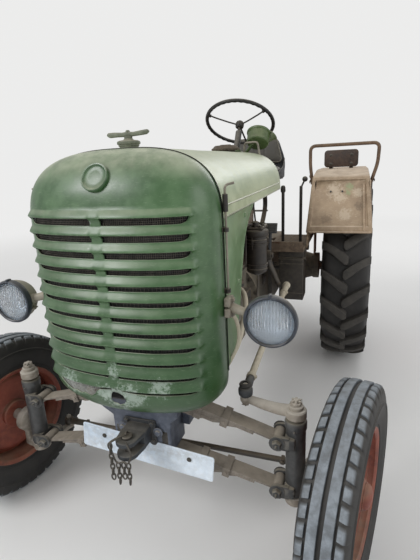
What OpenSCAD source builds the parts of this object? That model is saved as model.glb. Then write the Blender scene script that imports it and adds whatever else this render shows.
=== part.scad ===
// Vintage two-cylinder farm tractor, full size, in millimetres.
// X points to the tractor's left, the tractor faces -Y, and Z is up from the floor.

/* [Running gear] */
// Distance from the front to the rear axle
wheelbase = 1850; // [1800:1:1900]
// Front axle's place along Y, so that the length is centred on the origin
front_y = -1052; // [-1100:1:-1000]
// Distance between the middles of the front tyres when straight ahead
front_track = 1416; // [1400:1:1440]
// Outer radius of a front tyre
front_r = 350; // [340:1:355]
// Width of a front tyre
front_w = 146; // [140:1:150]
// Distance between the middles of the rear tyres
rear_track = 1316; // [1310:1:1330]
// Outer radius of a rear tyre, over its lugs
rear_r = 617; // [610:1:620]
// Width of a rear tyre
rear_w = 285; // [280:1:290]
// Lugs on each side of a rear tyre
lug_count = 22; // [18:1:24]
// Height of a lug above the rubber between the lugs
lug_h = 27; // [20:1:32]

/* [Steering] */
// Distance from a kingpin out to the middle of its tyre
stub_out = 171; // [165:1:180]
// How far the kingpins lie behind the front axle line
kingpin_y = 15; // [0:1:25]
// Radius of a front tyre where it sits on its rim
front_rim_r = 206; // [200:1:208]
// Radius of a rear tyre where it sits on its rim
rear_rim_r = 358; // [350:1:360]
// Radius of a kingpin
kingpin_r = 16; // [14:1:18]
// How far the front wheels are turned as parked, to the tractor's right
parked_steer = 11.8; // [0:0.1:15]
// Length of the arm that the drag link pushes
steer_arm = 180; // [170:1:190]
// Length of the arms that the tie rod joins
tie_arm = 150; // [140:1:160]
// Running clearance of pins and shafts, on the radius
fit = 0.06; // [0.02:0.01:0.1]
// Clearance of the pin at the open end of a linkage, on the radius
open_fit = 2; // [1.5:0.1:3]
// Middle of the steering wheel, behind the front axle and above the floor
wheel_at = [1450, 1600];
// Steering wheel's outer diameter
steering_d = 430; // [400:1:450]
// Column's lean from upright
column_lean = 32; // [30:1:35]

/* [Bonnet] */
// Half width of the nose and of the bonnet's front end
bonnet_hw = 322; // [315:1:325]
// Half width of the bonnet's rear end
bonnet_rear_hw = 280; // [270:1:290]
// Highest point of the bonnet
bonnet_top = 1424; // [1415:1:1430]
// Bonnet's lower edge
bonnet_low = 1210; // [1200:1:1220]
// Where the nose meets the bonnet, behind the front axle
seam_y = -11; // [-20:1:0]
// Bonnet's rear end, behind the front axle
bonnet_rear_y = 1303; // [1290:1:1310]
// How far the nose stands in front of the seam
nose_depth = 172; // [165:1:180]
// Nose's lower edge
nose_low = 594; // [585:1:600]
// Thickness of the sheet metal
sheet = 4; // [3:0.5:5]

/* [Grille] */
// Number of louvre slots
slot_count = 12; // [11:1:12]
// Height of the highest slot's middle
slot_top = 1226; // [1220:1:1230]
// Distance between slots
slot_pitch = 47.8; // [47:0.1:48.5]
// Half length of a slot
slot_hw = 262; // [250:1:265]
// Half width of the strip down the middle of the slots
strip_hw = 17; // [12:1:20]
// How far a louvre's lip stands out
lip_out = 10; // [8:1:12]

/* [Hidden] */
$fn = 48;

bonnet_green = "#7f9d78";
dark_green = "#4f6b4c";
cast_grey = "#6f7268";
oily_grey = "#4b4843";
dull_steel = "#8b8880";
rubber_black = "#2b2b2c";
worn_primer = "#8d7a68";
cream = "#d9d2bf";
wheel_red = "#8c3b2c";
glass_grey = "#c6cdd2";

// Distance of each kingpin from the middle.
kingpin_x = front_track / 2 - stub_out;
rear_y = wheelbase;
// Half width of the gearbox at the rear axle.
gearbox_hw = 175;
// Top of the floor plates.
plate_z = 868;
// The end of the left steering arm as parked.
arm_end = [kingpin_x - steer_arm * cos(parked_steer),
    kingpin_y + steer_arm * sin(parked_steer), 604];
// The drop arm's shaft and its lower end.
drop_shaft = [262, 980, 880];
drop_end = [332, 956, 722];
// Middles of the eyes at the ends of both spring stacks.
eye_x = kingpin_x - 55;
upper_eye = [eye_x, kingpin_y, 484];
lower_eye = [eye_x, kingpin_y, 294];
// Top of each spring stack at the middle, its leaves' lengths as shares, and their thickness.
upper_spring_z = 588;
lower_spring_z = 372;
leaf_shares = [0.97, 0.78, 0.62, 0.46, 0.3];
leaf_t = 9;
stack_h = len(leaf_shares) * leaf_t;
// Gap at a bolted seat, so that two castings touch without sharing space.
seat = 0.2;

// Everything is drawn from the floor under the front axle, then moved back to the origin.
module from_axle() {
    translate([0, front_y, 0]) children();
}

// What the rear axle carries is drawn from the axle's middle.
module from_rear() {
    from_axle() translate([0, rear_y, rear_r]) children();
}

module both_sides() {
    children();
    mirror([1, 0, 0]) children();
}

// A round bar between two points.
module bar(a, b, r) {
    v = b - a;
    translate(a)
        rotate([0, acos(v.z / norm(v)), atan2(v.y, v.x)])
            cylinder(h = norm(v), r = r);
}

// How much stouter than its bar an elbow is.
elbow = 1.06;

// A round bar through a list of points, with round elbows.
module bent_bar(points, r) {
    for (i = [0 : len(points) - 2])
        bar(points[i], points[i + 1], r);
    for (i = [1 : len(points) - 2])
        translate(points[i]) sphere(r = r * elbow);
}

// A block between two corners.
module block(a, b) {
    translate(a) cube(b - a);
}

// A disc or tube across the tractor, from x0 to x1.
module across(x0, x1, y, z, r) {
    translate([x0, y, z]) rotate([0, 90, 0]) cylinder(h = x1 - x0, r = r);
}

// A solid turned about the wheel's axle, from an outline of [radius, outward].
module turned(outline) {
    rotate([0, 90, 0]) rotate_extrude($fn = 96) polygon(outline);
}

// Quarter of a superellipse: the share of the full width left at share f of the height.
function bulge(f, n) = pow(max(0, 1 - pow(min(1, f), n)), 1 / n);

// Height where the bonnet's flank starts to turn in to the top.
shoulder_z = 1195;
// Height where the nose starts to turn in to its lower edge, and where that turn would close.
chin_z = 720;
chin_close_z = 572;

function rise(z) = (z - shoulder_z) / (bonnet_top - shoulder_z);
function drop(z) = (chin_z - z) / (chin_z - chin_close_z);
function flank(z, n_top) = z > shoulder_z ? bulge(rise(z), n_top)
    : z < chin_z ? bulge(drop(z), 2.8) : 1;
function nose_hw(z) = bonnet_hw * flank(z, 2.9);
function nose_out(z) = nose_depth * flank(z, 2.35);

// Louvres: each one's lip is at its slot's top edge and fades out upward.
function slot_z(i) = slot_top - i * slot_pitch;
function slot_h(i) = i < 3 ? 20 : 14;
lip_rise = 25;
nose_step = 5;
nose_angles = [for (a = [-90 : nose_step : 90]) a];
function nose_x(z, a) = nose_hw(z) * sign(sin(a)) * pow(abs(sin(a)), 0.82);
function nose_y(z, a) = seam_y - nose_out(z) * pow(abs(cos(a)), 0.82);
function lip_share(x) = abs(x) < slot_hw - 12 ? 1 : max(0, 1 - (abs(x) - slot_hw + 12) / 22);

// A level of the nose: its height and how far its louvre stands out.
nose_levels = concat(
    [for (z = [nose_low, 612, 635, 660]) [z, 0]],
    [for (i = [slot_count - 1 : -1 : 0])
        each [[slot_z(i) + slot_h(i) / 2 - 1, 0], [slot_z(i) + slot_h(i) / 2, lip_out],
            [slot_z(i) + slot_h(i) / 2 + lip_rise, 0]]],
    [for (f = [0.3, 0.42, 0.53, 0.63, 0.72, 0.8, 0.87, 0.92, 0.96, 0.985, 0.997, 0.9999])
        [shoulder_z + f * (bonnet_top - shoulder_z), 0]]);

function nose_ring(level) = [for (a = nose_angles)
    let (z = level[0], x = nose_x(z, a), out = level[1] * lip_share(x) * cos(a / 2))
    [x + out * sin(a), nose_y(z, a) - out * cos(a), z]];

// The hollow's rings run past the seam, so that the shell is open behind. Each is drawn at
// level z, with the outline that the nose has at the nearest height of its own.
function hollow_ring(z) = let (at = max(nose_low, z), k = 1 - sheet / nose_depth) concat(
    [[-nose_hw(at) + sheet, seam_y + 5, z]],
    [for (a = nose_angles)
        [nose_x(at, a) * (1 - sheet / bonnet_hw), seam_y + (nose_y(at, a) - seam_y) * k, z]],
    [[nose_hw(at) - sheet, seam_y + 5, z]]);

// A closed skin over a stack of rings that all have the same number of points.
module stacked(rings) {
    n = len(rings[0]);
    m = len(rings);
    polyhedron(
        points = [for (ring = rings) each ring],
        faces = concat(
            [[for (k = [0 : n - 1]) k]],
            [for (j = [0 : m - 2]) for (k = [0 : n - 1]) let (k2 = (k + 1) % n)
                each [[j * n + k, (j + 1) * n + k, (j + 1) * n + k2],
                    [j * n + k, (j + 1) * n + k2, j * n + k2]]],
            [[for (k = [n - 1 : -1 : 0]) (m - 1) * n + k]]),
        convexity = 8);
}

// A slot's outline, with a round outer end.
module slot_outline(h) {
    translate([strip_hw, -h / 2]) square([slot_hw - strip_hw - h / 2, h]);
    translate([slot_hw - h / 2, 0]) circle(d = h, $fn = 16);
}

module nose_shell() {
    hollow_levels = [nose_low - 30, 612, 635, 680, chin_z, shoulder_z, 1260, 1300, 1335, 1365,
        1385, 1400, 1410, 1416, bonnet_top - sheet - 0.2];
    color(bonnet_green) from_axle() {
        difference() {
            stacked([for (level = nose_levels) nose_ring(level)]);
            stacked([for (z = hollow_levels) hollow_ring(z)]);
            for (i = [0 : slot_count - 1])
                translate([0, seam_y - 40, slot_z(i)])
                    rotate([90, 0, 0])
                        linear_extrude(height = 200)
                            both_sides() slot_outline(slot_h(i));
            // Hole for the starting crank.
            translate([0, seam_y - 60, 657]) rotate([90, 0, 0]) cylinder(h = 200, r = 17);
        }
        // Bare round badge.
        badge_at = [0, nose_y(1345, 0) + 3, 1343];
        translate(badge_at) rotate([62, 0, 0]) cylinder(h = 14, r = 42);
    }
}

// The bonnet's cross-section, open below, shrunk by inset all round.
module bonnet_outline(hw, inset, low) {
    polygon(concat(
        [[-hw + inset, low], [-hw + inset, shoulder_z + 5]],
        [for (a = [-90 : 7.5 : 90])
            [(hw - inset) * sign(sin(a)) * pow(abs(sin(a)), 2 / 2.9),
                shoulder_z + (bonnet_top - inset - shoulder_z) * pow(cos(a), 2 / 2.9)]],
        [[hw - inset, shoulder_z + 5], [hw - inset, low]]));
}

module bonnet_slice(y, hw, inset) {
    translate([0, y, 0]) rotate([90, 0, 0])
        linear_extrude(height = 0.5) bonnet_outline(hw, inset, 1150);
}

module bonnet_mass(inset, low) {
    intersection() {
        hull() {
            bonnet_slice(seam_y + 4, bonnet_hw, inset);
            bonnet_slice(bonnet_rear_y - 42, bonnet_rear_hw + 1, inset);
            bonnet_slice(bonnet_rear_y - 12 - inset / 2, bonnet_rear_hw, inset + 11);
            bonnet_slice(bonnet_rear_y - inset, bonnet_rear_hw, inset + 32);
        }
        block([-400, seam_y - 20, low], [400, bonnet_rear_y + 20, bonnet_top + 20]);
    }
}

// The bonnet with the fuel tank welded in its rear half.
module bonnet() {
    tank_y = 620;
    color(bonnet_green) from_axle()
        difference() {
            bonnet_mass(0, bonnet_low);
            intersection() {
                translate([0, -12, 0]) bonnet_mass(sheet, bonnet_low - 40);
                difference() {
                    block([-400, -100, 1100], [400, 1400, 1500]);
                    block([-400, tank_y, 1232], [400, 1500, 1600]);
                    // Rib that rests on the radiator's top tank.
                    block([-200, 84, 1372 + seat], [200, 92, 1500]);
                }
            }
            // Way for the steering column through the bonnet's tail.
            column_way(34);
            // Holes for the coolant neck, the fuel neck and the handle's feet.
            translate([0, 52, bonnet_top - 60]) cylinder(h = 100, r = 30 + seat);
            translate([0, cap_y, bonnet_top - 60]) cylinder(h = 100, r = 50 + seat);
            grip_feet(6 + seat);
        }
}

cap_y = 1120;
// Direction up the steering column.
column_up = [0, sin(column_lean), cos(column_lean)];
module column_way(r) {
    top = [0, wheel_at[0], wheel_at[1]];
    bar(top - column_up * 640, top, r);
}

module side_panels() {
    panel_rear = [[1205, 482], [1150, 375], [1090, 306], [989, 250], [886, 210], [800, 160],
        [745, 123], [716, 110]];
    outline = concat([[0, 716], [0, 1205]],
        [for (p = panel_rear) [p[1] - seam_y, p[0]]]);
    taper = atan((bonnet_hw - bonnet_rear_hw) / (bonnet_rear_y - seam_y));
    color(bonnet_green) from_axle() both_sides()
        translate([bonnet_hw - 12, seam_y + 4, 0]) rotate([0, 0, taper])
            rotate([90, 0, 90]) linear_extrude(height = sheet) polygon(outline);
}

module bonnet_latches() {
    color(oily_grey) from_axle() both_sides() {
        x = bonnet_hw + 10;
        bent_bar([[x, -16, 984], [x, -16, 1308], [x + 24, -2, 1312]], 4);
        bar([x, -16, 1232], [x, -16, 1284], 8);
        for (z = [994, 1180])
            block([bonnet_hw + seat, -22, z - 5], [x, -11, z + 5]);
    }
}

// Both caps: the coolant filler with its winged handle, and the fuel filler.
module filler_caps() {
    neck = [0, 52, bonnet_top];
    color(dull_steel) from_axle() {
        translate(neck - [0, 0, 12]) cylinder(h = 26, r = 30);
        translate(neck + [0, 0, 14]) cylinder(h = 10, r = 36);
        translate(neck + [0, 0, 24]) cylinder(h = 16, r = 14);
        hull() both_sides()
            translate(neck + [46, 0, 44]) rotate([90, 0, 0])
                translate([0, 0, -8]) cylinder(h = 16, r = 11, $fn = 24);
        translate([0, cap_y, bonnet_top - 58]) cylinder(h = 70, r = 50);
        translate([0, cap_y, bonnet_top + 12]) cylinder(h = 12, r = 76);
        translate([0, cap_y, bonnet_top + 24]) cylinder(h = 14, r1 = 72, r2 = 60);
    }
}

grip_points = [[70, 1255, bonnet_top - 14], [80, 1240, 1474], [158, 1224, 1474],
    [168, 1222, bonnet_top - 30]];

module bonnet_handle() {
    color(dull_steel) from_axle() bent_bar(grip_points, 6);
}

module grip_feet(r) {
    for (ends = [[0, 1], [3, 2]])
        bar(grip_points[ends[0]] - [0, 0, 5], grip_points[ends[1]], r + 1);
}

module radiator() {
    color("#3a3a3a") from_axle()
        difference() {
            union() {
                block([-250, 5, 650], [250, 65, 1330]);
                block([-205, 0, 1330], [205, 95, 1372]);
                block([-235, 0, 600], [235, 80, 650]);
                translate([0, 52, 1372]) cylinder(h = bonnet_top - 12 - 1372 - seat, r = 30);
                // Ears that carry the nose and the side panels.
                both_sides() {
                    for (z = [740, 1120]) {
                        block([240, -20, z], [bonnet_hw - sheet - 1.2, -9, z + 30]);
                        block([240, -20, z], [bonnet_hw - 12 - 1.2, 30, z + 30]);
                    }
                }
            }
            for (x = [-210 : 60 : 210])
                block([x - 12, -1, 660], [x + 12, 8, 1310]);
        }
}

// Pulleys of the fan, the crank and the dynamo: sideways, height and radius.
fan_z = 930;
pulleys = [[0, fan_z, 62], [0, 560, 88], [228, 790, 48]];

// A slab round all three pulleys, out from their radius.
module belt_loop(y, h, out) {
    hull()
        for (p = pulleys)
            translate([p[0], y, p[1]]) rotate([-90, 0, 0])
                cylinder(h = h, r = p[2] + out, $fn = 32);
}

// Fan, pulleys, the belt between them and the dynamo.
module fan_drive() {
    color("#9a9a94") from_axle() {
        translate([0, 160, fan_z]) rotate([-90, 0, 0]) cylinder(h = 110, r = 24);
        for (p = pulleys)
            translate([p[0], 178, p[1]]) rotate([-90, 0, 0]) cylinder(h = 32, r = p[2]);
        for (a = [0 : 60 : 300])
            translate([0, 122, fan_z]) rotate([0, a, 0]) translate([-25, 0, 44])
                cube([50, 5, 161]);
        translate([0, 116, fan_z]) rotate([-90, 0, 0]) cylinder(h = 46, r = 52);
        translate([0, 205, 560]) rotate([-90, 0, 0]) cylinder(h = 60, r = 30);
        // Dynamo on the left of the block.
        translate([228, 209, 790]) rotate([-90, 0, 0]) cylinder(h = 203, r = 56);
        block([150, 280, 770], [230, 380, 790]);
        // Belt.
        difference() {
            belt_loop(186, 16, 5);
            belt_loop(180, 30, -9);
        }
    }
}

// Lamp: a bowl with its rim, on a clamp from the nose's flank.
lamp_at = [470, -60, 922];
module headlights() {
    color(dull_steel) from_axle() both_sides() {
        translate(lamp_at) rotate([90, 0, 0])
            rotate_extrude() polygon([[0, -88], [34, -84], [60, -66], [76, -38], [82, -6],
                [84, 0], [84, 16], [79, 18], [79, 4], [70, 0], [56, -40], [0, -66]]);
        // Clamp and arm.
        bar(lamp_at + [-70, 20, 8], [bonnet_hw + 12, -18, 944], 15);
        block([bonnet_hw + seat, -40, 912], [bonnet_hw + 22, 4, 976]);
    }
}

module headlight_lenses() {
    color(glass_grey) from_axle() both_sides()
        translate(lamp_at) rotate([90, 0, 0])
            rotate_extrude() polygon([[0, 8], [79, 4], [79, 12], [60, 19], [35, 24], [0, 26]]);
}

module engine_block() {
    color(cast_grey) from_axle() {
        block([-150, 270, 560], [150, 930, 1000]);
        block([-140, 270, 430], [140, 920, 560]);
        translate([0, 265, 560]) rotate([-90, 0, 0]) cylinder(h = 40, r = 110);
    }
}

// Heads with their finned covers, the manifold side and the injection pump.
module engine_covers() {
    color("#6a6459") from_axle() {
        for (y = [300, 620]) {
            block([-155, y, 1000], [155, y + 280, 1090]);
            block([-95, y + 20, 1090], [95, y + 260, 1150]);
            for (k = [0 : 7])
                block([150, y + 12 + k * 34, 900], [205, y + 26 + k * 34, 1130]);
            block([95, y + 12, 1090], [205, y + 264, 1104]);
        }
        block([150, 560, 620], [215, 760, 760]);
        for (y = [600, 680])
            bar([185, y, 755], [185, y, 820], 14);
    }
}

module exhaust() {
    color("#5b4a3e") from_axle() {
        block([-215, 330, 930], [-150 - seat, 860, 985]);
        bent_bar([[-190, 780, 940], [-205, 820, 760], [-250, 920, 600], [-262, 1060, 560]], 26);
        bar([-262, 1060, 560], [-262, 1520, 560], 62);
        bent_bar([[-262, 1510, 560], [-262, 1640, 560], [-262, 1700, 520]], 24);
    }
}

module air_cleaner() {
    color(oily_grey) from_axle() {
        translate([264, 690, 870]) cylinder(h = 170, r = 48);
        translate([264, 690, 1040]) cylinder(h = 26, r = 54);
        translate([264, 690, 1066]) cylinder(h = 20, r = 20);
        translate([264, 690, 855]) cylinder(h = 15, r1 = 30, r2 = 48);
        bent_bar([[264, 720, 1053], [264, 924, 1053], [110, 924, 1053], [110, 900 + seat, 1053]], 12);
        block([205 + seat, 676, 960], [224, 704, 1000]);
    }
}

// The gearbox's back face behind the rear axle, and the power take-off's radius.
case_back = 210;
shaft_r = 17.5;

module transmission() {
    color(cast_grey) from_axle() {
        translate([0, 930, 640]) rotate([-90, 0, 0]) cylinder(h = 20, r = 215);
        hull() {
            translate([0, 950, 640]) rotate([-90, 0, 0]) cylinder(h = 10, r = 195, $fn = 32);
            block([-140, 1190, 470], [140, 1200, 800]);
        }
        block([-150, 1198, 450], [150, 1560, 810]);
        // Pad for the steering box.
        block([-70, 950, 780], [130, 1180, 856]);
        // Gear lever's turret and the top cover.
        block([-110, 1240, 810], [110, 1500, 836]);
        translate([0, 1330, 836]) cylinder(h = 40, r1 = 60, r2 = 34);
    }
    // Rear case with the power take-off.
    color(cast_grey) from_rear() {
        block([-gearbox_hw, -310, -187], [gearbox_hw, case_back, 213]);
        translate([0, case_back, 3]) rotate([-90, 0, 0]) cylinder(h = 22, r = 80);
        difference() {
            translate([0, case_back + 22, 3]) rotate([-90, 0, 0]) cylinder(h = 80, r = shaft_r);
            translate([0, case_back + 50, 3]) rotate([-90, 0, 0])
                rotate_extrude() translate([shaft_r, 0]) circle(r = 3);
        }
    }
}

module rear_axle() {
    hub_face = rear_track / 2 - 70;
    color(cast_grey) from_axle() both_sides() {
        across(gearbox_hw + seat, 200, rear_y, rear_r, 165);
        translate([200, rear_y, rear_r]) rotate([0, 90, 0]) cylinder(h = 230, r1 = 150, r2 = 82);
        across(429, hub_face - 120, rear_y, rear_r, 92);
        across(hub_face - 140, rear_track / 2 + 20, rear_y, rear_r, shaft_end_r);
    }
}

module steering_box() {
    top = [0, wheel_at[0], wheel_at[1]];
    foot = top - column_up * 640;
    color(cast_grey) from_axle() {
        block([-70, 950, 856 + seat], [130, 1180, 1040]);
        bar(foot - column_up * 30, top - column_up * 560, 42);
        difference() {
            bar(foot, top - column_up * 62, 19);
            bar(top - column_up * 90, top, 9 + fit);
        }
        difference() {
            across(100, drop_shaft.x - 12, drop_shaft.y, drop_shaft.z, 23);
            across(150, drop_shaft.x + 20, drop_shaft.y, drop_shaft.z, 15 + fit);
        }
    }
}

module platform() {
    color("#6b5a48") from_axle() {
        both_sides() {
            difference() {
                block([205, 1150, plate_z - 6], [428, 1700, plate_z]);
                block([370, 1336, 850], [404, 1400, 900]);
                block([264, 1336, 850], [298, 1400, 900]);
            }
            // Upright front edge and the brackets to the gearbox.
            block([205, 1150, plate_z], [428, 1156, plate_z + 52]);
            block([150 + seat, 1240, 780], [415, 1270, plate_z - 6]);
            block([gearbox_hw + seat, 1600, 780], [415, 1640, plate_z - 6]);
        }
        // Toolbox under the left plate.
        block([284, 1190, 560], [426, 1335, plate_z - 6]);
    }
}

module pedals_and_levers() {
    color("#262627") from_axle() {
        // Two upright levers through the left plate, flat bars with their knob.
        block([274, 1345, 705], [288, 1372, 1186]);
        block([380, 1345, 705], [394, 1372, 1218]);
        bar([387, 1358, 1210], [407, 1352, 1250], 5);
        translate([410, 1350, 1257]) sphere(r = 16);
        across(150 + seat, 402, 1358, 718, 11);
        // Gear lever.
        bent_bar([[0, 1330, 878], [0, 1345, 960], [20, 1400, 1120]], 8);
        translate([20, 1402, 1128]) sphere(r = 20);
        // Clutch pedal on the left, brake pedal on the right.
        both_sides() {
            across(150 + seat, 240, 1215, 770, 12);
            bent_bar([[232, 1215, 770], [240, 1128, 850], [250, 1112, 1000]], 10);
            translate([250, 1108, 1004]) rotate([60, 0, 0]) translate([-38, -28, -6])
                cube([76, 60, 10]);
        }
    }
}

pod_at = [140, 1300, 1462];
module instrument_pod() {
    color(dark_green) from_axle() {
        translate(pod_at) rotate([-34, 0, 0]) {
            cylinder(h = 78, r = 54);
            translate([0, 0, 74]) cylinder(h = 10, r = 60);
            cylinder(h = 8, r = 30);
        }
        translate(pod_at + [52, 26, 46]) rotate([-34, 42, 0]) cylinder(h = 44, r1 = 16, r2 = 30);
        // Clamp on the column and its arm.
        clamp_at = [0, wheel_at[0], wheel_at[1]] - column_up * 200;
        difference() {
            union() {
                bar(clamp_at - column_up * 14, clamp_at + column_up * 14, 28);
                bar(clamp_at, pod_at + [-20, 10, 20], 9);
            }
            bar(clamp_at - column_up * 30, clamp_at + column_up * 30, 19 + fit);
        }
    }
}

module seat_spring() {
    color(oily_grey) from_rear() {
        for (x = [-60, 40])
            hull() {
                block([x, -290, 213 + seat], [x + 20, -210, 223]);
                block([x, 80, 393], [x + 20, 110, 403]);
            }
        for (x = [-60, 40])
            hull() {
                block([x, 80, 393], [x + 20, 110, 403]);
                block([x, -90, 608], [x + 20, -50, 618]);
            }
        block([-90, -150, 608], [90, 10, 620]);
        block([-60, 80, 389], [60, 112, 401]);
    }
}

module driver_seat() {
    color(rubber_black) from_rear() {
        difference() {
            hull() {
                for (x = [-185, 185])
                    for (y = [-260, 30])
                        translate([x, y, 655]) sphere(r = 35, $fn = 24);
                for (x = [-205, 205])
                    translate([x, 40, 763]) sphere(r = 35, $fn = 24);
            }
            hull() {
                for (x = [-165, 165])
                    translate([x, -250, 703]) sphere(r = 30, $fn = 24);
                for (x = [-160, 160])
                    translate([x, -20, 693]) sphere(r = 30, $fn = 24);
                for (x = [-175, 175])
                    translate([x, -20, 843]) sphere(r = 30, $fn = 24);
                translate([0, -350, 883]) sphere(r = 30, $fn = 24);
            }
        }
        hull() {
            for (x = [-205, 205])
                translate([x, 40, 763]) sphere(r = 28, $fn = 24);
            for (x = [-130, 130])
                translate([x, 65, 918]) sphere(r = 28, $fn = 24);
        }
    }
}

// Side outline of a fender from the rear axle: [back, up]. Its lower edge is at fender_low.
fender_low = 341;
fender_top = rear_r + 48;
fender_side = [[35 - rear_r, 353], [105 - rear_r, fender_top - 32], [-290, fender_top],
    [200, fender_top], [460, fender_top - 102], [rear_r - 27, 343]];
fender_round = 20;
// Inner and outer edge line of a fender at its lower edge.
fender_x = [450, 772];

module fender_mass(shrink) {
    hull() {
        for (p = fender_side) {
            narrow = (p[1] - fender_low) / (fender_top - fender_low);
            for (x = [fender_x[0] + 26 * narrow, fender_x[1] - 30 * narrow])
                translate([x, p[0], p[1]]) sphere(r = fender_round - shrink, $fn = 16);
        }
        if (shrink > 0) {
            for (y = [35 - rear_r, rear_r - 27])
                for (x = fender_x)
                    translate([x, y, fender_low - 58]) sphere(r = fender_round - shrink, $fn = 16);
        }
    }
}

module fenders() {
    wall_x = fender_x[0] - fender_round + 1;
    color(worn_primer) both_sides() from_rear() {
        difference() {
            fender_mass(0);
            fender_mass(sheet);
            block([400, -rear_r - 40, fender_low - 58], [850, rear_r + 40, fender_low]);
            // Open flank beside the tyre, with a lip left along the top.
            block([760, 77 - rear_r, fender_low - 18], [850, rear_r - 47, rear_r + 7]);
        }
        // Inner wall down to the platform and its foot on the axle.
        block([wall_x, 57 - rear_r, plate_z - 6 - rear_r],
            [wall_x + sheet, rear_r - 117, fender_low + 7]);
        block([wall_x, -60, 92 + seat], [wall_x + 10, 60, fender_low + 2]);
    }
}

module fender_seats() {
    rail_y = -350;
    rail_z = fender_top + 160;
    color("#4a3a33") both_sides() from_rear() {
        bent_bar([[441.2, rail_y, fender_top - 66], [426, rail_y, rail_z - 112],
            [424, rail_y, rail_z - 18], [442, rail_y, rail_z], [792, rail_y, rail_z],
            [812, rail_y, rail_z - 18], [808, rail_y, rail_z - 112],
            [778, rail_y, fender_top - 66]], 10);
        // Backrest board on its two stays.
        block([487, -50, fender_top + 26], [703, -28, fender_top + 136]);
        for (x = [530, 660])
            block([x - 12, -28, fender_top + 20 + seat], [x + 12, -20, fender_top + 118]);
    }
}

// Frame below the rear axle with a cross bar of pin holes.
module drawbar() {
    bar_z = -217;
    bar_y = 480;
    color(oily_grey) from_rear() {
        difference() {
            block([-260, bar_y, bar_z], [260, bar_y + 80, bar_z + 22]);
            for (x = [-200 : 100 : 200])
                translate([x, bar_y + 45, bar_z - 5]) cylinder(h = 40, r = 13);
        }
        both_sides() {
            hull() {
                block([228, bar_y, bar_z + 22], [250, bar_y + 70, bar_z + 42]);
                block([228, 50, -177], [250, 150, -157]);
            }
            block([228, -50, -187], [250, 110, -142]);
            block([gearbox_hw + seat, 50, -187], [250, 110, -166]);
        }
        // Towing jaw on the gearbox's back.
        difference() {
            block([-70, case_back + seat, 98], [70, case_back + 130, 183]);
            block([-80, case_back + 30, 118], [80, case_back + 140, 163]);
            translate([0, case_back + 90, 73]) cylinder(h = 120, r = 16);
        }
    }
}

// Cast carrier under the nose that holds both springs and the engine's front end.
module front_bolster() {
    color("#5d646b") from_axle() {
        block([-110, -52, lower_spring_z + seat], [110, 80, 510]);
        hull() {
            block([-110, -52, 500], [110, -18, 505]);
            block([-150, -62, 540], [150, -18, 583]);
        }
        block([-110, -52, 500], [110, 80, upper_spring_z - stack_h - seat]);
        // Clamp plates over the upper and under the lower spring, with their bolts.
        block([-90, -30, upper_spring_z + seat], [90, 62, 600 - seat]);
        block([-90, -30, lower_spring_z - stack_h - 14], [90, 62, lower_spring_z - stack_h - seat]);
        for (x = [-75, 75])
            for (y = [-23, 54])
                translate([x, y, lower_spring_z - stack_h - 22])
                    cylinder(h = 600 - lower_spring_z + stack_h + 20, r = 7);
        for (x = [-140, 110])
            block([x, 60, 430], [x + 30, 270 - seat, 545]);
    }
}

// Each stack of leaves: half length, drop from the middle, and thickness, from the long leaf down.
module spring_stack(mid_z, eye, leaves) {
    for (k = [0 : len(leaves) - 1]) {
        share = leaves[k];
        t = leaf_t;
        y0 = kingpin_y - 30;
        end = [110 + (eye.x - 110) * share, mid_z + (eye.z - mid_z) * share];
        z0 = mid_z - k * t;
        z1 = end[1] - k * t;
        rotate([90, 0, 0]) translate([0, 0, -y0 - 60]) linear_extrude(height = 60)
            polygon([[0, z0], [110, z0], [end[0], z1], [end[0], z1 - t], [110, z0 - t],
                [0, z0 - t]]);
    }
}

module front_springs() {
    color("#8a8279") from_axle() both_sides() {
        spring_stack(upper_spring_z, upper_eye, leaf_shares);
        spring_stack(lower_spring_z, lower_eye, leaf_shares);
        // Eyes rolled at the ends of the long leaves.
        for (eye = [upper_eye, lower_eye])
            difference() {
                translate(eye + [0, -30, 0]) rotate([-90, 0, 0]) cylinder(h = 60, r = 19);
                translate(eye + [0, -40, 0]) rotate([-90, 0, 0]) cylinder(h = 80, r = 10);
            }
    }
}

module kingpin_carriers() {
    color("#3f4143") from_axle() both_sides() {
        difference() {
            union() {
                translate([kingpin_x, kingpin_y, 271]) cylinder(h = 287, r = 33);
                // Ears beside the spring eyes.
                for (eye = [upper_eye, lower_eye]) {
                    for (side = [-1, 1])
                        translate(eye + [0, side * 38 - 7, 0]) {
                            rotate([-90, 0, 0]) cylinder(h = 14, r = 24);
                            translate([0, 0, -20]) cube([30, 14, 40]);
                        }
                    block(eye + [22, -45, -20], [kingpin_x, kingpin_y + 45, eye.z + 20]);
                }
            }
            translate([kingpin_x, kingpin_y, 200]) cylinder(h = 500, r = kingpin_r + fit);
        }
        for (eye = [upper_eye, lower_eye])
            translate(eye + [0, -54, 0]) rotate([-90, 0, 0]) cylinder(h = 108, r = 9.5);
    }
}

// Radii of the stub axles, of the pins in the linkage and of the rear axle shafts.
stub_r = 22;
ball_pin_r = 9;
shaft_end_r = 32;

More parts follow.
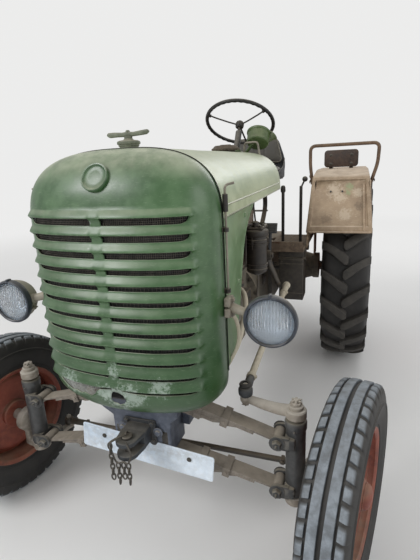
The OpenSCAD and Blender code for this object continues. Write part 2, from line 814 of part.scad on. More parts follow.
// Knuckle drawn straight ahead about its kingpin, its wheel toward +X.
module knuckle(arm) {
    axle_z = front_r;
    foot_z = 232;
    translate([0, 0, foot_z]) cylinder(h = 340, r = kingpin_r);
    translate([0, 0, foot_z]) cylinder(h = 32, r = 34);
    block([0, -26, foot_z], [76, 26, foot_z + 32]);
    block([44, -26, foot_z], [76, 26, axle_z + 42]);
    translate([44, 0, axle_z]) rotate([0, 90, 0]) cylinder(h = 34, r = 48);
    translate([44, 0, axle_z]) rotate([0, 90, 0]) cylinder(h = stub_out - 4, r = stub_r);
    // Arm for the tie rod, with its pin.
    block([-15, 0, foot_z], [15, tie_arm + 14, foot_z + 18]);
    translate([0, tie_arm, foot_z + 10]) cylinder(h = 42, r = ball_pin_r);
    // Collar on the kingpin's top.
    translate([0, 0, 564]) cylinder(h = 32, r = 34);
    translate([0, 0, 596]) cylinder(h = 14, r = 24);
    if (arm) {
        hull() {
            block([-60, -14, 570], [-20, 14, 592]);
            block([-steer_arm, -10, 578], [-steer_arm + 10, 10, 592]);
        }
        translate([-steer_arm, 0, 576]) cylinder(h = 16, r = 18);
        translate([-steer_arm, 0, 590]) cylinder(h = 50, r = ball_pin_r);
    }
}

module knuckle_left() {
    color("#86827a") from_axle()
        translate([kingpin_x, kingpin_y, 0]) rotate([0, 0, -parked_steer]) knuckle(true);
}

module knuckle_right() {
    color("#86827a") from_axle()
        translate([-kingpin_x, kingpin_y, 0]) rotate([0, 0, -parked_steer])
            mirror([1, 0, 0]) knuckle(false);
}

// The tie rod joins the pins of both knuckles' arms; the left end is a fit, the right is open.
module tie_rod() {
    dx = tie_arm * sin(parked_steer);
    y = kingpin_y + tie_arm * cos(parked_steer);
    color("#55524c") from_axle()
        translate([dx, y, 0])
            difference() {
                union() {
                    bar([-kingpin_x, 0, 266], [kingpin_x, 0, 266], 11);
                    for (x = [-kingpin_x, kingpin_x])
                        translate([x, 0, 253]) cylinder(h = 26, r = 19);
                }
                translate([kingpin_x, 0, 240]) cylinder(h = 60, r = ball_pin_r + fit);
                translate([-kingpin_x, 0, 240]) cylinder(h = 60, r = ball_pin_r + open_fit);
            }
}

// The drag link hangs on the left steering arm's pin and ends beside the drop arm.
module drag_link() {
    rear = [drop_end.x + 32, drop_end.y, drop_end.z];
    color(cream) from_axle() {
        difference() {
            union() {
                translate([arm_end.x, arm_end.y, 595]) cylinder(h = 36, r = 24);
                bar([arm_end.x, arm_end.y, 613], rear, 13);
            }
            translate([arm_end.x, arm_end.y, 560]) cylinder(h = 100, r = ball_pin_r + fit);
        }
        translate(rear) sphere(r = 21);
    }
}

module drop_arm() {
    color(oily_grey) from_axle() {
        across(160, drop_shaft.x + 14, drop_shaft.y, drop_shaft.z, 15);
        across(drop_shaft.x - 8, drop_shaft.x + 14, drop_shaft.y, drop_shaft.z, 28);
        hull() {
            across(drop_shaft.x - 6, drop_shaft.x + 12, drop_shaft.y, drop_shaft.z, 22, $fn = 32);
            across(drop_end.x - 16, drop_end.x, drop_end.y, drop_end.z, 14, $fn = 32);
        }
    }
}

module steering_wheel() {
    ring_r = 11;
    color(rubber_black) from_axle()
        translate([0, wheel_at[0], wheel_at[1]]) rotate([-column_lean, 0, 0]) {
            rotate_extrude($fn = 72) translate([steering_d / 2 - ring_r, 0])
                circle(r = ring_r, $fn = 20);
            for (a = [0, 120, 240])
                rotate([0, 0, a + 90]) bar([20, 0, -14], [steering_d / 2 - ring_r, 0, 0], 6);
            translate([0, 0, -34]) cylinder(h = 38, r = 26);
            translate([0, 0, -86]) cylinder(h = 60, r = 9);
        }
}

// Profile of a front tyre: [radius, sideways], with four grooves between its ribs.
module front_tyre() {
    half = front_w / 2;
    rotate([0, 90, 0]) rotate_extrude($fn = 96)
        difference() {
            polygon([[front_rim_r, -50], [front_rim_r, 50], [front_rim_r + 26, 58],
                [front_r - 80, half], [front_r - 50, half], [front_r - 20, half - 9],
                [front_r - 6, half - 16], [front_r, 36], [front_r, -36], [front_r - 6, 16 - half],
                [front_r - 20, 9 - half], [front_r - 50, -half], [front_r - 80, -half],
                [front_rim_r + 26, -58]]);
            for (x = [-36, -12.5, 12.5, 36])
                translate([front_r - 9, x - 4]) square([20, 8]);
        }
}

module front_wheel() {
    rim = front_rim_r;
    difference() {
        union() {
            turned([[20, -30], [60, -30], [60, -6], [150, -6], [rim - 30, 22], [rim - 14, 24],
                [rim - 10, 52], [rim + 6, 56], [rim + 6, 60], [rim - 16, 58], [rim - 22, 34],
                [rim - 34, 30], [146, 2], [70, 4], [58, 36], [40, 54], [20, 54]]);
            turned([[rim - 10, -56], [rim + 6, -60], [rim + 6, -54], [rim - 0.5, -52],
                [rim - 0.5, 52], [rim - 6, 54], [rim - 16, 40], [rim - 16, -40]]);
            // Hub cap.
            turned([[0, 50], [40, 50], [38, 66], [20, 74], [0, 75]]);
        }
        for (a = [0 : 72 : 288])
            rotate([a, 0, 0]) translate([-20, 0, 84]) rotate([0, 90, 0]) cylinder(h = 60, r = 8);
        translate([-60, 0, 0]) rotate([0, 90, 0]) cylinder(h = 102, r = stub_r + fit);
    }
}

// Places a front wheel's parts on the left or right stub axle as parked.
module on_front_stub(side) {
    from_axle() translate([side * kingpin_x, kingpin_y, front_r])
        rotate([0, 0, -parked_steer])
            mirror([side > 0 ? 0 : 1, 0, 0]) translate([stub_out, 0, 0]) children();
}

module front_wheel_left() {
    color(wheel_red) on_front_stub(1) front_wheel();
}

module front_wheel_right() {
    color(wheel_red) on_front_stub(-1) front_wheel();
}

module front_tyre_left() {
    color(rubber_black) on_front_stub(1) front_tyre();
}

module front_tyre_right() {
    color(rubber_black) on_front_stub(-1) front_tyre();
}

// One lug's outline, sideways from the middle line and along the tread, outer end trailing.
lug_outline = [[-14, -4], [4, -22], [72, 38], [140, 84], [140, 128], [58, 84], [-14, 30]];

module rear_tyre() {
    half = rear_w / 2;
    rim = rear_rim_r;
    floor_r = rear_r - lug_h;
    wall = floor_r - rim;
    turned([[rim, -103], [rim, 103], [rim + 16, 103], [rim + 36, 117],
        [rim + wall * 0.4, half - 4], [rim + wall * 0.61, half - 2], [floor_r - 35, 130],
        [floor_r - 8, 116], [floor_r, 60], [floor_r, -60], [floor_r - 8, -116],
        [floor_r - 35, -130], [rim + wall * 0.61, 2 - half], [rim + wall * 0.4, 4 - half],
        [rim + 36, -117], [rim + 16, -103]]);
    intersection() {
        turned([[floor_r - 70, 1 - half], [floor_r - 70, half - 1], [floor_r - 34, half - 1],
            [rear_r - 16, half - 6], [rear_r, 78], [rear_r, -78], [rear_r - 16, 6 - half],
            [floor_r - 34, 1 - half]]);
        for (i = [0 : lug_count - 1]) {
            a = i * 360 / lug_count;
            rotate([a, 0, 0]) translate([0, 0, floor_r - 50]) linear_extrude(height = 100)
                polygon(lug_outline);
            rotate([a + 180 / lug_count, 0, 0]) translate([0, 0, floor_r - 50])
                linear_extrude(height = 100) mirror([1, 0]) polygon(lug_outline);
        }
    }
}

module rear_wheel() {
    rim = rear_rim_r;
    difference() {
        union() {
            turned([[32, -60], [110, -60], [110, -40], [150, -34], [rim - 58, -34],
                [rim - 28, -4], [rim - 6, -4], [rim - 6, 8], [rim - 34, 8], [rim - 64, -22],
                [150, -22], [100, -20], [84, 10], [60, 30], [32, 30]]);
            turned([[rim - 18, -92], [rim + 14, -116], [rim + 14, -108], [rim - 0.5, -104],
                [rim - 0.5, 104], [rim + 14, 108], [rim + 14, 116], [rim - 18, 92],
                [rim - 18, 60], [rim - 12, 50], [rim - 12, -50], [rim - 18, -60]]);
            turned([[0, 24], [62, 24], [58, 48], [30, 58], [0, 60]]);
        }
        for (a = [0 : 45 : 315])
            rotate([a, 0, 0]) translate([-60, 0, 128]) rotate([0, 90, 0]) cylinder(h = 60, r = 11);
        across(-80, 22, 0, 0, shaft_end_r + fit);
    }
}

module on_rear_axle(side) {
    from_axle() translate([side * rear_track / 2, rear_y, rear_r])
        mirror([side > 0 ? 0 : 1, 0, 0]) children();
}

module rear_wheel_left() {
    color(wheel_red) on_rear_axle(1) rear_wheel();
}

module rear_wheel_right() {
    color(wheel_red) on_rear_axle(-1) rear_wheel();
}

module rear_tyre_left() {
    color(rubber_black) on_rear_axle(1) rear_tyre();
}

module rear_tyre_right() {
    color(rubber_black) on_rear_axle(-1) rear_tyre();
}

// Jaw for towing from the front, bolted below the nose.
jaw_pin_y = -150;
module tow_jaw() {
    color("#6b4a38") from_axle() {
        difference() {
            union() {
                block([-45, -120, 434], [45, -52 - seat, 500]);
                for (z = [434, 482])
                    hull() {
                        block([-45, -122, z], [45, -112, z + 18]);
                        translate([0, jaw_pin_y, z]) cylinder(h = 18, r = 38, $fn = 32);
                    }
            }
            translate([0, jaw_pin_y, 420]) cylinder(h = 100, r = 13);
        }
    }
}

// Pin with its retaining chain hanging from the head.
module tow_pin() {
    links = 7;
    color("#5a4335") from_axle() {
        translate([0, jaw_pin_y, 410]) cylinder(h = 96, r = 12);
        translate([0, jaw_pin_y, 500 + seat]) cylinder(h = 12, r = 20);
        bar([0, jaw_pin_y, 510], [-34, jaw_pin_y - 44, 510], 4);
        for (i = [0 : links - 1])
            translate([-36, jaw_pin_y - 48, 496 - i * 23]) rotate([90, 0, i % 2 * 90])
                rotate_extrude($fn = 20) translate([11, 0]) circle(r = 3.2, $fn = 13);
    }
}

// Blank plate across the front, a little lower on the tractor's left.
module number_plate() {
    color("#d8d8d2") from_axle()
        translate([8, -53 - seat, 378]) rotate([0, 5.5, 0])
            difference() {
                translate([-262, -2, -46]) cube([524, 3, 92]);
                for (x = [-170, 170])
                    translate([x, -10, 14]) rotate([-90, 0, 0]) cylinder(h = 20, r = 4);
            }
}

front_bolster();
front_springs();
kingpin_carriers();
tow_jaw();
tow_pin();
number_plate();
nose_shell();
radiator();
fan_drive();
bonnet();
side_panels();
bonnet_latches();
filler_caps();
bonnet_handle();
headlights();
headlight_lenses();
engine_block();
engine_covers();
exhaust();
air_cleaner();
transmission();
rear_axle();
steering_box();
platform();
pedals_and_levers();
instrument_pod();
seat_spring();
driver_seat();
fenders();
fender_seats();
drawbar();
steering_wheel();
drop_arm();
drag_link();
knuckle_left();
knuckle_right();
tie_rod();
front_wheel_left();
front_wheel_right();
front_tyre_left();
front_tyre_right();
rear_wheel_left();
rear_wheel_right();
rear_tyre_left();
rear_tyre_right();
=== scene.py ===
import itertools
import math

import bmesh
import bpy
from bpy.props import FloatProperty, FloatVectorProperty, PointerProperty
from mathutils import Matrix, Vector, noise


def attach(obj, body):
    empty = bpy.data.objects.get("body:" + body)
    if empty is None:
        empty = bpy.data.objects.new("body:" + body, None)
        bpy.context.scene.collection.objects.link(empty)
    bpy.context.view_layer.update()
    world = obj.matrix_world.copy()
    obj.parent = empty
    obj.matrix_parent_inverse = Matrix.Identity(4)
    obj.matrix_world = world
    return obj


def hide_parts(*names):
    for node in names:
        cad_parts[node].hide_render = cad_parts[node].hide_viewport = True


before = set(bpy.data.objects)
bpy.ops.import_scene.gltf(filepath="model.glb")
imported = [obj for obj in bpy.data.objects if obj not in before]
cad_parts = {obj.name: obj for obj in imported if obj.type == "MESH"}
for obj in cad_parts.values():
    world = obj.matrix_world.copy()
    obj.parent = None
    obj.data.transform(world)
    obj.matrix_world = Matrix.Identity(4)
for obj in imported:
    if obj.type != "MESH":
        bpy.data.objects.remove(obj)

bl_info = {
    "name": "Vintage Farm Tractor",
    "version": (1, 0, 0),
    "blender": (4, 5, 0),
    "location": "3D View > Sidebar > Tractor",
    "description": "Builds the panels, tyres, fittings, finishes and stage of a vintage farm tractor",
    "category": "Add Mesh",
}

# Everything is modelled in millimetres from the floor under the front axle, facing -Y,
# and moved to the frame's metres when a piece is finished.
FRONT_Y = -1.052
PLACE = Matrix.Translation((0, FRONT_Y, 0)) @ Matrix.Scale(0.001, 4)
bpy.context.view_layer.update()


# Sizes shared with the source of the part.
BONNET_HW, BONNET_REAR_HW = 322, 280
BONNET_TOP, BONNET_LOW = 1424, 1210
SHOULDER_Z, CHIN_Z, CHIN_CLOSE_Z, NOSE_LOW = 1195, 720, 572, 594
SEAM_Y, NOSE_DEPTH, BONNET_REAR_Y = -11, 172, 1303
SLOT_TOP, SLOT_PITCH, SLOT_COUNT, SLOT_HW, STRIP_HW = 1226, 47.8, 12, 262, 17
KINGPIN_X, KINGPIN_Y, PARKED_STEER = 537, 15, 11.8
FRONT_R, FRONT_RIM_R, STUB_OUT = 350, 206, 171
REAR_R, REAR_W, REAR_RIM_R, REAR_X, REAR_Y = 617, 285, 358, 658, 1850
LUG_H, LUG_COUNT = 27, 22
WHEEL_TOP = Vector((0, 1450, 1600))
COLUMN_LEAN = 32
COLUMN_UP = Vector((0, math.sin(math.radians(COLUMN_LEAN)), math.cos(math.radians(COLUMN_LEAN))))
LAMP_AT = Vector((470, -60, 922))
# The springs' eyes: how far out, and for each spring the height of its middle and of its eyes.
SPRING_EYE_X = 482
SPRINGS = ((588, 484), (372, 294))
SIDES = {"left": 1, "right": -1}
# Blender seeds its vector noise from the clock, so each step sets this seed before it builds.
DENT_SEED = 7


# Geometry helpers

def new_bm():
    return bmesh.new()


def facing(direction):
    """A turn that points local Z along a direction."""
    return Vector(direction).normalized().to_track_quat("Z", "Y").to_matrix().to_4x4()


def placed(origin, direction=(0, 0, 1)):
    return Matrix.Translation(Vector(origin)) @ facing(direction)


def spun(degrees, axis, size=4):
    """A turn about an axis, in degrees."""
    return Matrix.Rotation(math.radians(degrees), size, axis)


def standing(y, way, x=0, z=0):
    """Stands an outline of (x, z) points up at a depth, with its thickness along Y or against it."""
    return Matrix(((1, 0, 0, x), (0, 0, way, y), (0, 1, 0, z), (0, 0, 0, 1)))


def lengthwise(x, way):
    """Stands an outline of (y, z) points up at a sideways place, with its thickness along X."""
    return Matrix(((0, 0, way, x), (1, 0, 0, 0), (0, 1, 0, 0), (0, 0, 0, 1)))


def smooth01(t):
    t = max(0.0, min(1.0, t))
    return t * t * (3 - 2 * t)


def edges_of(verts):
    return list(dict.fromkeys(e for v in verts for e in v.link_edges))


def faces_of(verts):
    return list(dict.fromkeys(f for v in verts for f in v.link_faces))


def since(bm, before):
    """The vertices that are new since the set of the earlier ones was kept."""
    return [v for v in bm.verts if v not in before]


def new_verts(geom):
    return [g for g in geom if isinstance(g, bmesh.types.BMVert)]


def shift(bm, matrix, verts=None):
    """Moves these vertices, or the whole mesh."""
    bmesh.ops.transform(bm, matrix=matrix, verts=bm.verts if verts is None else verts)


def face_out(bm, verts=None):
    """Turns the faces of these vertices, or of the whole mesh, the right way out."""
    faces = bm.faces if verts is None else faces_of(verts)
    bmesh.ops.recalc_face_normals(bm, faces=faces)


def weld(bm, distance):
    bmesh.ops.remove_doubles(bm, verts=bm.verts, dist=distance)


def polar(radius, degrees):
    a = math.radians(degrees)
    return radius * math.cos(a), radius * math.sin(a)


def round_edges(bm, verts, width, segments=2, angle=30):
    """Bevels every edge of these vertices that is sharper than the angle."""
    sharp = [e for e in edges_of(verts)
             if len(e.link_faces) == 2 and e.calc_face_angle(0) > math.radians(angle)]
    if sharp and width > 0:
        bmesh.ops.bevel(bm, geom=sharp, offset=width, segments=segments, profile=0.5,
                        affect="EDGES", material=-1, clamp_overlap=True)


def block(bm, low, high, bevel=0, segments=2, turn=None):
    """A rounded block between two corners, turned about its own middle if asked."""
    low, high = Vector(low), Vector(high)
    size = high - low
    before = set(bm.verts)
    matrix = Matrix.Translation((low + high) / 2) @ (turn or Matrix()) @ Matrix.Diagonal((*size, 1))
    made = bmesh.ops.create_cube(bm, size=1, matrix=matrix)["verts"]
    if bevel:
        round_edges(bm, made, min(bevel, min(size) * 0.45), segments)
    return since(bm, before)


def rod(bm, start, end, radius, end_radius=None, segments=24, bevel=0):
    """A round bar or cone between two points."""
    start, end = Vector(start), Vector(end)
    before = set(bm.verts)
    matrix = placed((start + end) / 2, end - start)
    made = bmesh.ops.create_cone(
        bm, cap_ends=True, segments=segments, radius1=radius,
        radius2=radius if end_radius is None else end_radius,
        depth=(end - start).length, matrix=matrix)["verts"]
    if bevel:
        round_edges(bm, made, bevel, 2, 40)
    return since(bm, before)


def ball(bm, centre, radius, segments=20):
    bmesh.ops.create_uvsphere(bm, u_segments=segments, v_segments=segments // 2, radius=radius,
                              matrix=Matrix.Translation(Vector(centre)))


def lathe(bm, outline, origin=(0, 0, 0), direction=(0, 0, 1), steps=48, closed=False, matrix=None):
    """Spins an outline of (radius, height) points about a line."""
    before = set(bm.verts)
    line = [bm.verts.new((r, 0, h)) for r, h in outline]
    edges = [bm.edges.new((a, b)) for a, b in zip(line, line[1:])]
    if closed:
        edges.append(bm.edges.new((line[-1], line[0])))
    bmesh.ops.spin(bm, geom=line + edges, cent=(0, 0, 0), axis=(0, 0, 1), dvec=(0, 0, 0),
                   angle=2 * math.pi, steps=steps, use_merge=True, use_duplicate=False)
    made = since(bm, before)
    bmesh.ops.remove_doubles(bm, verts=made, dist=0.01)
    made = since(bm, before)
    face_out(bm, made)
    shift(bm, matrix or placed(origin, direction), made)
    return made


def ring(bm, centre, direction, radius, wire, steps=32, segments=10):
    """A round ring, such as an O-ring or a bead."""
    section = [polar(wire, 360 * k / segments) for k in range(segments)]
    return lathe(bm, [(radius + r, h) for r, h in section], centre, direction, steps, closed=True)


def softened(points, per_span=6):
    """A smooth path through a list of points."""
    pts = [Vector(p) for p in points]
    ends = [pts[0] * 2 - pts[1]] + pts + [pts[-1] * 2 - pts[-2]]
    path = []
    for i in range(1, len(ends) - 2):
        a, b, c, d = ends[i - 1:i + 3]
        for k in range(per_span):
            t = k / per_span
            path.append(0.5 * ((2 * b) + (c - a) * t + (2 * a - 5 * b + 4 * c - d) * t * t
                               + (3 * b - a - 3 * c + d) * t * t * t))
    return path + [pts[-1]]


def rounded_path(points, radius, steps=6):
    """A path of straight runs whose corners are arcs of about this radius."""
    pts = [Vector(p) for p in points]
    path = [pts[0]]
    for a, b, c in zip(pts, pts[1:], pts[2:]):
        into, out = (b - a).normalized(), (c - b).normalized()
        cut = min(radius, (b - a).length * 0.49, (c - b).length * 0.49)
        start, end = b - into * cut, b + out * cut
        for k in range(steps + 1):
            t = k / steps
            path.append(start.lerp(b, t).lerp(b.lerp(end, t), t))
    return path + [pts[-1]]


def sweep(bm, path, radius, segments=12, flat=1.0, capped=True):
    """A tube along a path. flat below 1 makes it a flattened bar."""
    path = [Vector(p) for p in path]
    before = set(bm.verts)
    heading = (path[1] - path[0]).normalized()
    side = heading.orthogonal().normalized()
    frames = []
    for i, p in enumerate(path):
        nxt = (path[min(i + 1, len(path) - 1)] - path[max(i - 1, 0)]).normalized()
        side = (heading.rotation_difference(nxt) @ side).normalized()
        heading = nxt
        up = heading.cross(side)
        r = radius(i / (len(path) - 1)) if callable(radius) else radius
        m = Matrix((side * r, up * r * flat, heading)).transposed().to_4x4()
        m.translation = p
        frames.append(m)
    loop = bmesh.ops.create_circle(bm, cap_ends=False, segments=segments, radius=1,
                                   matrix=frames[0])["verts"]
    edges = edges_of(loop)
    rims = [edges]
    for last, now in zip(frames, frames[1:]):
        grown = bmesh.ops.extrude_edge_only(bm, edges=edges)["geom"]
        loop = new_verts(grown)
        edges = [g for g in grown if isinstance(g, bmesh.types.BMEdge)
                 and all(v in loop for v in g.verts)]
        shift(bm, now @ last.inverted(), loop)
    rims.append(edges)
    if capped:
        for rim in rims:
            bmesh.ops.contextual_create(bm, geom=rim)
    made = since(bm, before)
    face_out(bm, made)
    return made


def slab(bm, outline, matrix, thickness, bevel=0, segments=2):
    """A flat plate: an outline of (x, y) points, raised along the matrix's Z."""
    before = set(bm.verts)
    face = bm.faces.new([bm.verts.new((x, y, 0)) for x, y in outline])
    top = bmesh.ops.extrude_face_region(bm, geom=[face])["geom"]
    lifted = new_verts(top)
    bmesh.ops.translate(bm, vec=(0, 0, thickness), verts=lifted)
    made = since(bm, before)
    face_out(bm, made)
    if bevel:
        round_edges(bm, made, bevel, segments, 25)
    made = since(bm, before)
    shift(bm, matrix, made)
    return made


def rounded_slab(bm, corners, rounding, steps, thickness):
    """A plate with rounded corners, raised along Z, in a mesh that is still empty."""
    face = bm.faces.new([bm.verts.new((x, y, 0)) for x, y in corners])
    bmesh.ops.bevel(bm, geom=face.verts[:], offset=rounding, segments=steps, profile=0.5,
                    affect="VERTICES", material=-1)
    top = bmesh.ops.extrude_face_region(bm, geom=bm.faces[:])["geom"]
    bmesh.ops.translate(bm, vec=(0, 0, thickness), verts=new_verts(top))
    face_out(bm)


def bolt(bm, origin, direction, across=13, height=6, washer=True):
    """A hexagon bolt head or nut on its washer."""
    origin, direction = Vector(origin), Vector(direction).normalized()
    if washer:
        rod(bm, origin, origin + direction * 1.6, across * 0.95, segments=16)
    rod(bm, origin + direction, origin + direction * (height * 0.75), across * 0.577, segments=6)
    rod(bm, origin + direction * (height * 0.75), origin + direction * height,
        across * 0.577, across * 0.46, segments=6)


def bolts(bm, xs, ys, zs, direction, across, height, washer=True):
    """A bolt wherever these places cross."""
    for place in itertools.product(xs, ys, zs):
        bolt(bm, place, direction, across, height, washer)


def castle_nut(bm, origin, direction, across=36, height=20):
    """A slotted nut with its split pin."""
    origin, direction = Vector(origin), Vector(direction).normalized()
    rod(bm, origin, origin + direction * height * 0.6, across * 0.577, segments=6, bevel=1)
    side = direction.orthogonal().normalized()
    for k in range(6):
        turn = Matrix.Rotation(math.radians(60 * k), 4, direction)
        foot = origin + direction * height * 0.6 + (turn @ side) * across * 0.36
        rod(bm, foot, foot + direction * height * 0.4, across * 0.13, segments=8)
    rod(bm, origin, origin + direction * height * 1.15, across * 0.27, segments=16, bevel=1)
    mid = origin + direction * height * 0.8
    rod(bm, mid - side * across * 0.62, mid + side * across * 0.62, 1.8, segments=8)


def grid(bm, columns, rows):
    """A sheet of columns by rows. Returns its vertices as rows of columns, to be placed by name."""
    made = bmesh.ops.create_grid(bm, x_segments=columns - 1, y_segments=rows - 1, size=1)["verts"]
    table = [[None] * columns for _ in range(rows)]
    for v in made:
        i = round((v.co.x + 1) / 2 * (columns - 1))
        j = round((v.co.y + 1) / 2 * (rows - 1))
        table[j][i] = v
    return table


def mirrored(bm):
    """Adds the other side's copy of everything in a mesh."""
    copy = bmesh.ops.duplicate(bm, geom=bm.verts[:] + bm.edges[:] + bm.faces[:])["geom"]
    verts = new_verts(copy)
    bmesh.ops.scale(bm, vec=(-1, 1, 1), verts=verts)
    bmesh.ops.reverse_faces(bm, faces=[g for g in copy if isinstance(g, bmesh.types.BMFace)])


def turned_copies(bm, geom, count, centre, axis):
    """Repeats some geometry evenly round an axis."""
    if count > 1:
        bmesh.ops.spin(bm, geom=geom, cent=Vector(centre), axis=Vector(axis), dvec=(0, 0, 0),
                       angle=2 * math.pi * (count - 1) / count, steps=count - 1,
                       use_duplicate=True)


def ragged(co, scale, amount, seed=0.0):
    """A small uneven shift for dents and torn edges."""
    p = co * scale + Vector((seed, seed * 0.7, -seed))
    return noise.noise_vector(p) * amount


def linked(name, data):
    item = bpy.data.objects.new(name, data)
    bpy.context.scene.collection.objects.link(item)
    return item


def solid(name, bm):
    """An object with a finished mesh."""
    mesh = bpy.data.meshes.new(name)
    bm.to_mesh(mesh)
    bm.free()
    return linked(name, mesh)


def finish_piece(name, bm, finish, *replaced, body="chassis", smooth=35, thickness=0, slot=None):
    """Turns a mesh in millimetres into an object with its finish and its body. Its slot is not used."""
    for face in bm.faces:
        face.smooth = True
    for edge in bm.edges:
        if len(edge.link_faces) == 2:
            edge.smooth = edge.calc_face_angle(0) < math.radians(smooth)
    shift(bm, PLACE)
    piece = solid(name, bm)
    piece.data.materials.append(finishes(finish))
    if thickness:
        wall = piece.modifiers.new("Sheet thickness", "SOLIDIFY")
        wall.thickness = thickness / 1000
        wall.offset = -1
    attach(piece, body)
    if replaced:
        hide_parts(*replaced)
    return piece


# Finishes

def colour(r, g, b):
    """An 8-bit screen colour as the linear colour that the shaders take."""
    def linear(c):
        c /= 255
        return c / 12.92 if c <= 0.04045 else ((c + 0.055) / 1.055) ** 2.4
    return (linear(r), linear(g), linear(b), 1.0)


def put(tree, kind, settings=None, **inputs):
    """Adds a node, sets it up and links or fills its inputs by name."""
    n = tree.nodes.new(kind)
    for key, value in (settings or {}).items():
        setattr(n, key, value)
    for key, value in inputs.items():
        socket = n.inputs[key.replace("_", " ")]
        if isinstance(value, bpy.types.NodeSocket):
            tree.links.new(value, socket)
        else:
            socket.default_value = value
    return n


def fill(tree, socket, value):
    if isinstance(value, bpy.types.NodeSocket):
        tree.links.new(value, socket)
    else:
        socket.default_value = value


def calc(tree, operation, a, b=0.0, clamp=False):
    n = put(tree, "ShaderNodeMath", {"operation": operation, "use_clamp": clamp})
    fill(tree, n.inputs[0], a)
    fill(tree, n.inputs[1], b)
    return n.outputs[0]


def mixed(tree, share, a, b):
    n = put(tree, "ShaderNodeMix", {"data_type": "RGBA"})
    fill(tree, n.inputs[0], share)
    fill(tree, n.inputs[6], a)
    fill(tree, n.inputs[7], b)
    return n.outputs[2]


def between(tree, value, low, high, to_low=0.0, to_high=1.0):
    """A smooth step of a value from one range to another."""
    n = put(tree, "ShaderNodeMapRange", {"interpolation_type": "SMOOTHSTEP"})
    for socket, v in zip(n.inputs[:5], (value, low, high, to_low, to_high)):
        fill(tree, socket, v)
    return n.outputs[0]


def grain(tree, place, scale, detail=4.0, roughness=0.55):
    return put(tree, "ShaderNodeTexNoise", Vector=place, Scale=scale, Detail=detail,
               Roughness=roughness).outputs["Fac"]


def spot(tree):
    return put(tree, "ShaderNodeTexCoord").outputs["Object"]


def mask_group(tree, name, build, **inputs):
    """A mask from a shader node group made once. build gets the group's tree and its inputs."""
    group = bpy.data.node_groups.get(name)
    if not group:
        group = bpy.data.node_groups.new(name, "ShaderNodeTree")
        for label, value in inputs.items():
            kind = "NodeSocketVector" if hasattr(value, "__len__") else "NodeSocketFloat"
            socket = group.interface.new_socket(name=label, in_out="INPUT", socket_type=kind)
            socket.default_value = value
        group.interface.new_socket(name="Mask", in_out="OUTPUT", socket_type="NodeSocketFloat")
        start = group.nodes.new("NodeGroupInput")
        end = group.nodes.new("NodeGroupOutput")
        group.links.new(build(group, start.outputs), end.inputs[0])
    return put(tree, "ShaderNodeGroup", {"node_tree": group}, **inputs).outputs["Mask"]


def edge_wear(tree, radius, scale):
    """Mask of the edges where paint is rubbed off."""
    def build(g, io):
        rounded = put(g, "ShaderNodeBevel", {"samples": 6}, Radius=io["Radius"]).outputs["Normal"]
        plain = put(g, "ShaderNodeNewGeometry").outputs["Normal"]
        dot = put(g, "ShaderNodeVectorMath", {"operation": "DOT_PRODUCT"})
        g.links.new(rounded, dot.inputs[0])
        g.links.new(plain, dot.inputs[1])
        edge = between(g, calc(g, "SUBTRACT", 1.0, dot.outputs["Value"]), 0.01, 0.14)
        chips = between(g, grain(g, spot(g), io["Scale"], 6.0, 0.65), 0.36, 0.6)
        return times(g, edge, chips)
    return mask_group(tree, "Edge wear", build, Radius=radius, Scale=scale)


def settled_dust(tree, scale, level=0.05):
    """Mask of the dust that lies on what faces up."""
    def build(g, io):
        up = put(g, "ShaderNodeSeparateXYZ",
                 Vector=put(g, "ShaderNodeTexCoord").outputs["Normal"]).outputs["Z"]
        patchy = between(g, grain(g, spot(g), io["Scale"], 5.0, 0.6), 0.25, 0.7, 0.35, 1.0)
        return times(g, between(g, up, io["Level"], 0.95), patchy)
    return mask_group(tree, "Settled dust", build, Scale=scale, Level=level)


def blotches(tree, scale, share):
    """Mask of rust or bare patches with small ragged rims. A larger share covers more."""
    def build(g, io):
        big = grain(g, spot(g), io["Scale"], 3.0, 0.5)
        fine = grain(g, spot(g), times(g, io["Scale"], 7.0), 6.0, 0.7)
        both = calc(g, "ADD", times(g, big, 0.62), times(g, fine, 0.38))
        edge = calc(g, "SUBTRACT", 0.72, times(g, io["Share"], 0.35))
        return between(g, both, edge, calc(g, "ADD", edge, 0.05))
    return mask_group(tree, "Blotches", build, Scale=scale, Share=share)


def scratches(tree, stretch, scale):
    """Mask of fine scratches along one direction."""
    def build(g, io):
        run = put(g, "ShaderNodeVectorMath", {"operation": "MULTIPLY"})
        g.links.new(spot(g), run.inputs[0])
        g.links.new(io["Stretch"], run.inputs[1])
        fine = grain(g, run.outputs[0], io["Scale"], 3.0, 0.5)
        return between(g, fine, 0.63, 0.7)
    return mask_group(tree, "Scratches", build, Stretch=stretch, Scale=scale)


def shade_toward_floor(tree, low, high):
    """Mask of painted shade that grows from nothing at the upper height to full at the lower one."""
    def build(g, io):
        z = put(g, "ShaderNodeSeparateXYZ", Vector=spot(g)).outputs["Z"]
        uneven = times(g, calc(g, "SUBTRACT", grain(g, spot(g), 7.0), 0.5), 0.25)
        return between(g, calc(g, "ADD", z, uneven), io["High"], io["Low"])
    return mask_group(tree, "Toward the floor", build, Low=low, High=high)


def worn_patch(tree, centre, radius):
    """Mask of a ragged bare patch round one place."""
    def build(g, io):
        away = put(g, "ShaderNodeVectorMath", {"operation": "DISTANCE"})
        g.links.new(spot(g), away.inputs[0])
        g.links.new(io["Centre"], away.inputs[1])
        fine = grain(g, spot(g), 75.0, 8.0, 0.75)
        rough = times(g, calc(g, "SUBTRACT", fine, 0.5), 3.4)
        share = calc(g, "DIVIDE", away.outputs["Value"], io["Radius"])
        return between(g, calc(g, "ADD", share, rough), 1.05, 0.45)
    return mask_group(tree, "Worn patch", build, Centre=centre, Radius=radius)


def new_finish(name):
    mat = bpy.data.materials.new(name)
    mat.use_nodes = True
    tree = mat.node_tree
    return mat, tree, tree.nodes["Principled BSDF"]


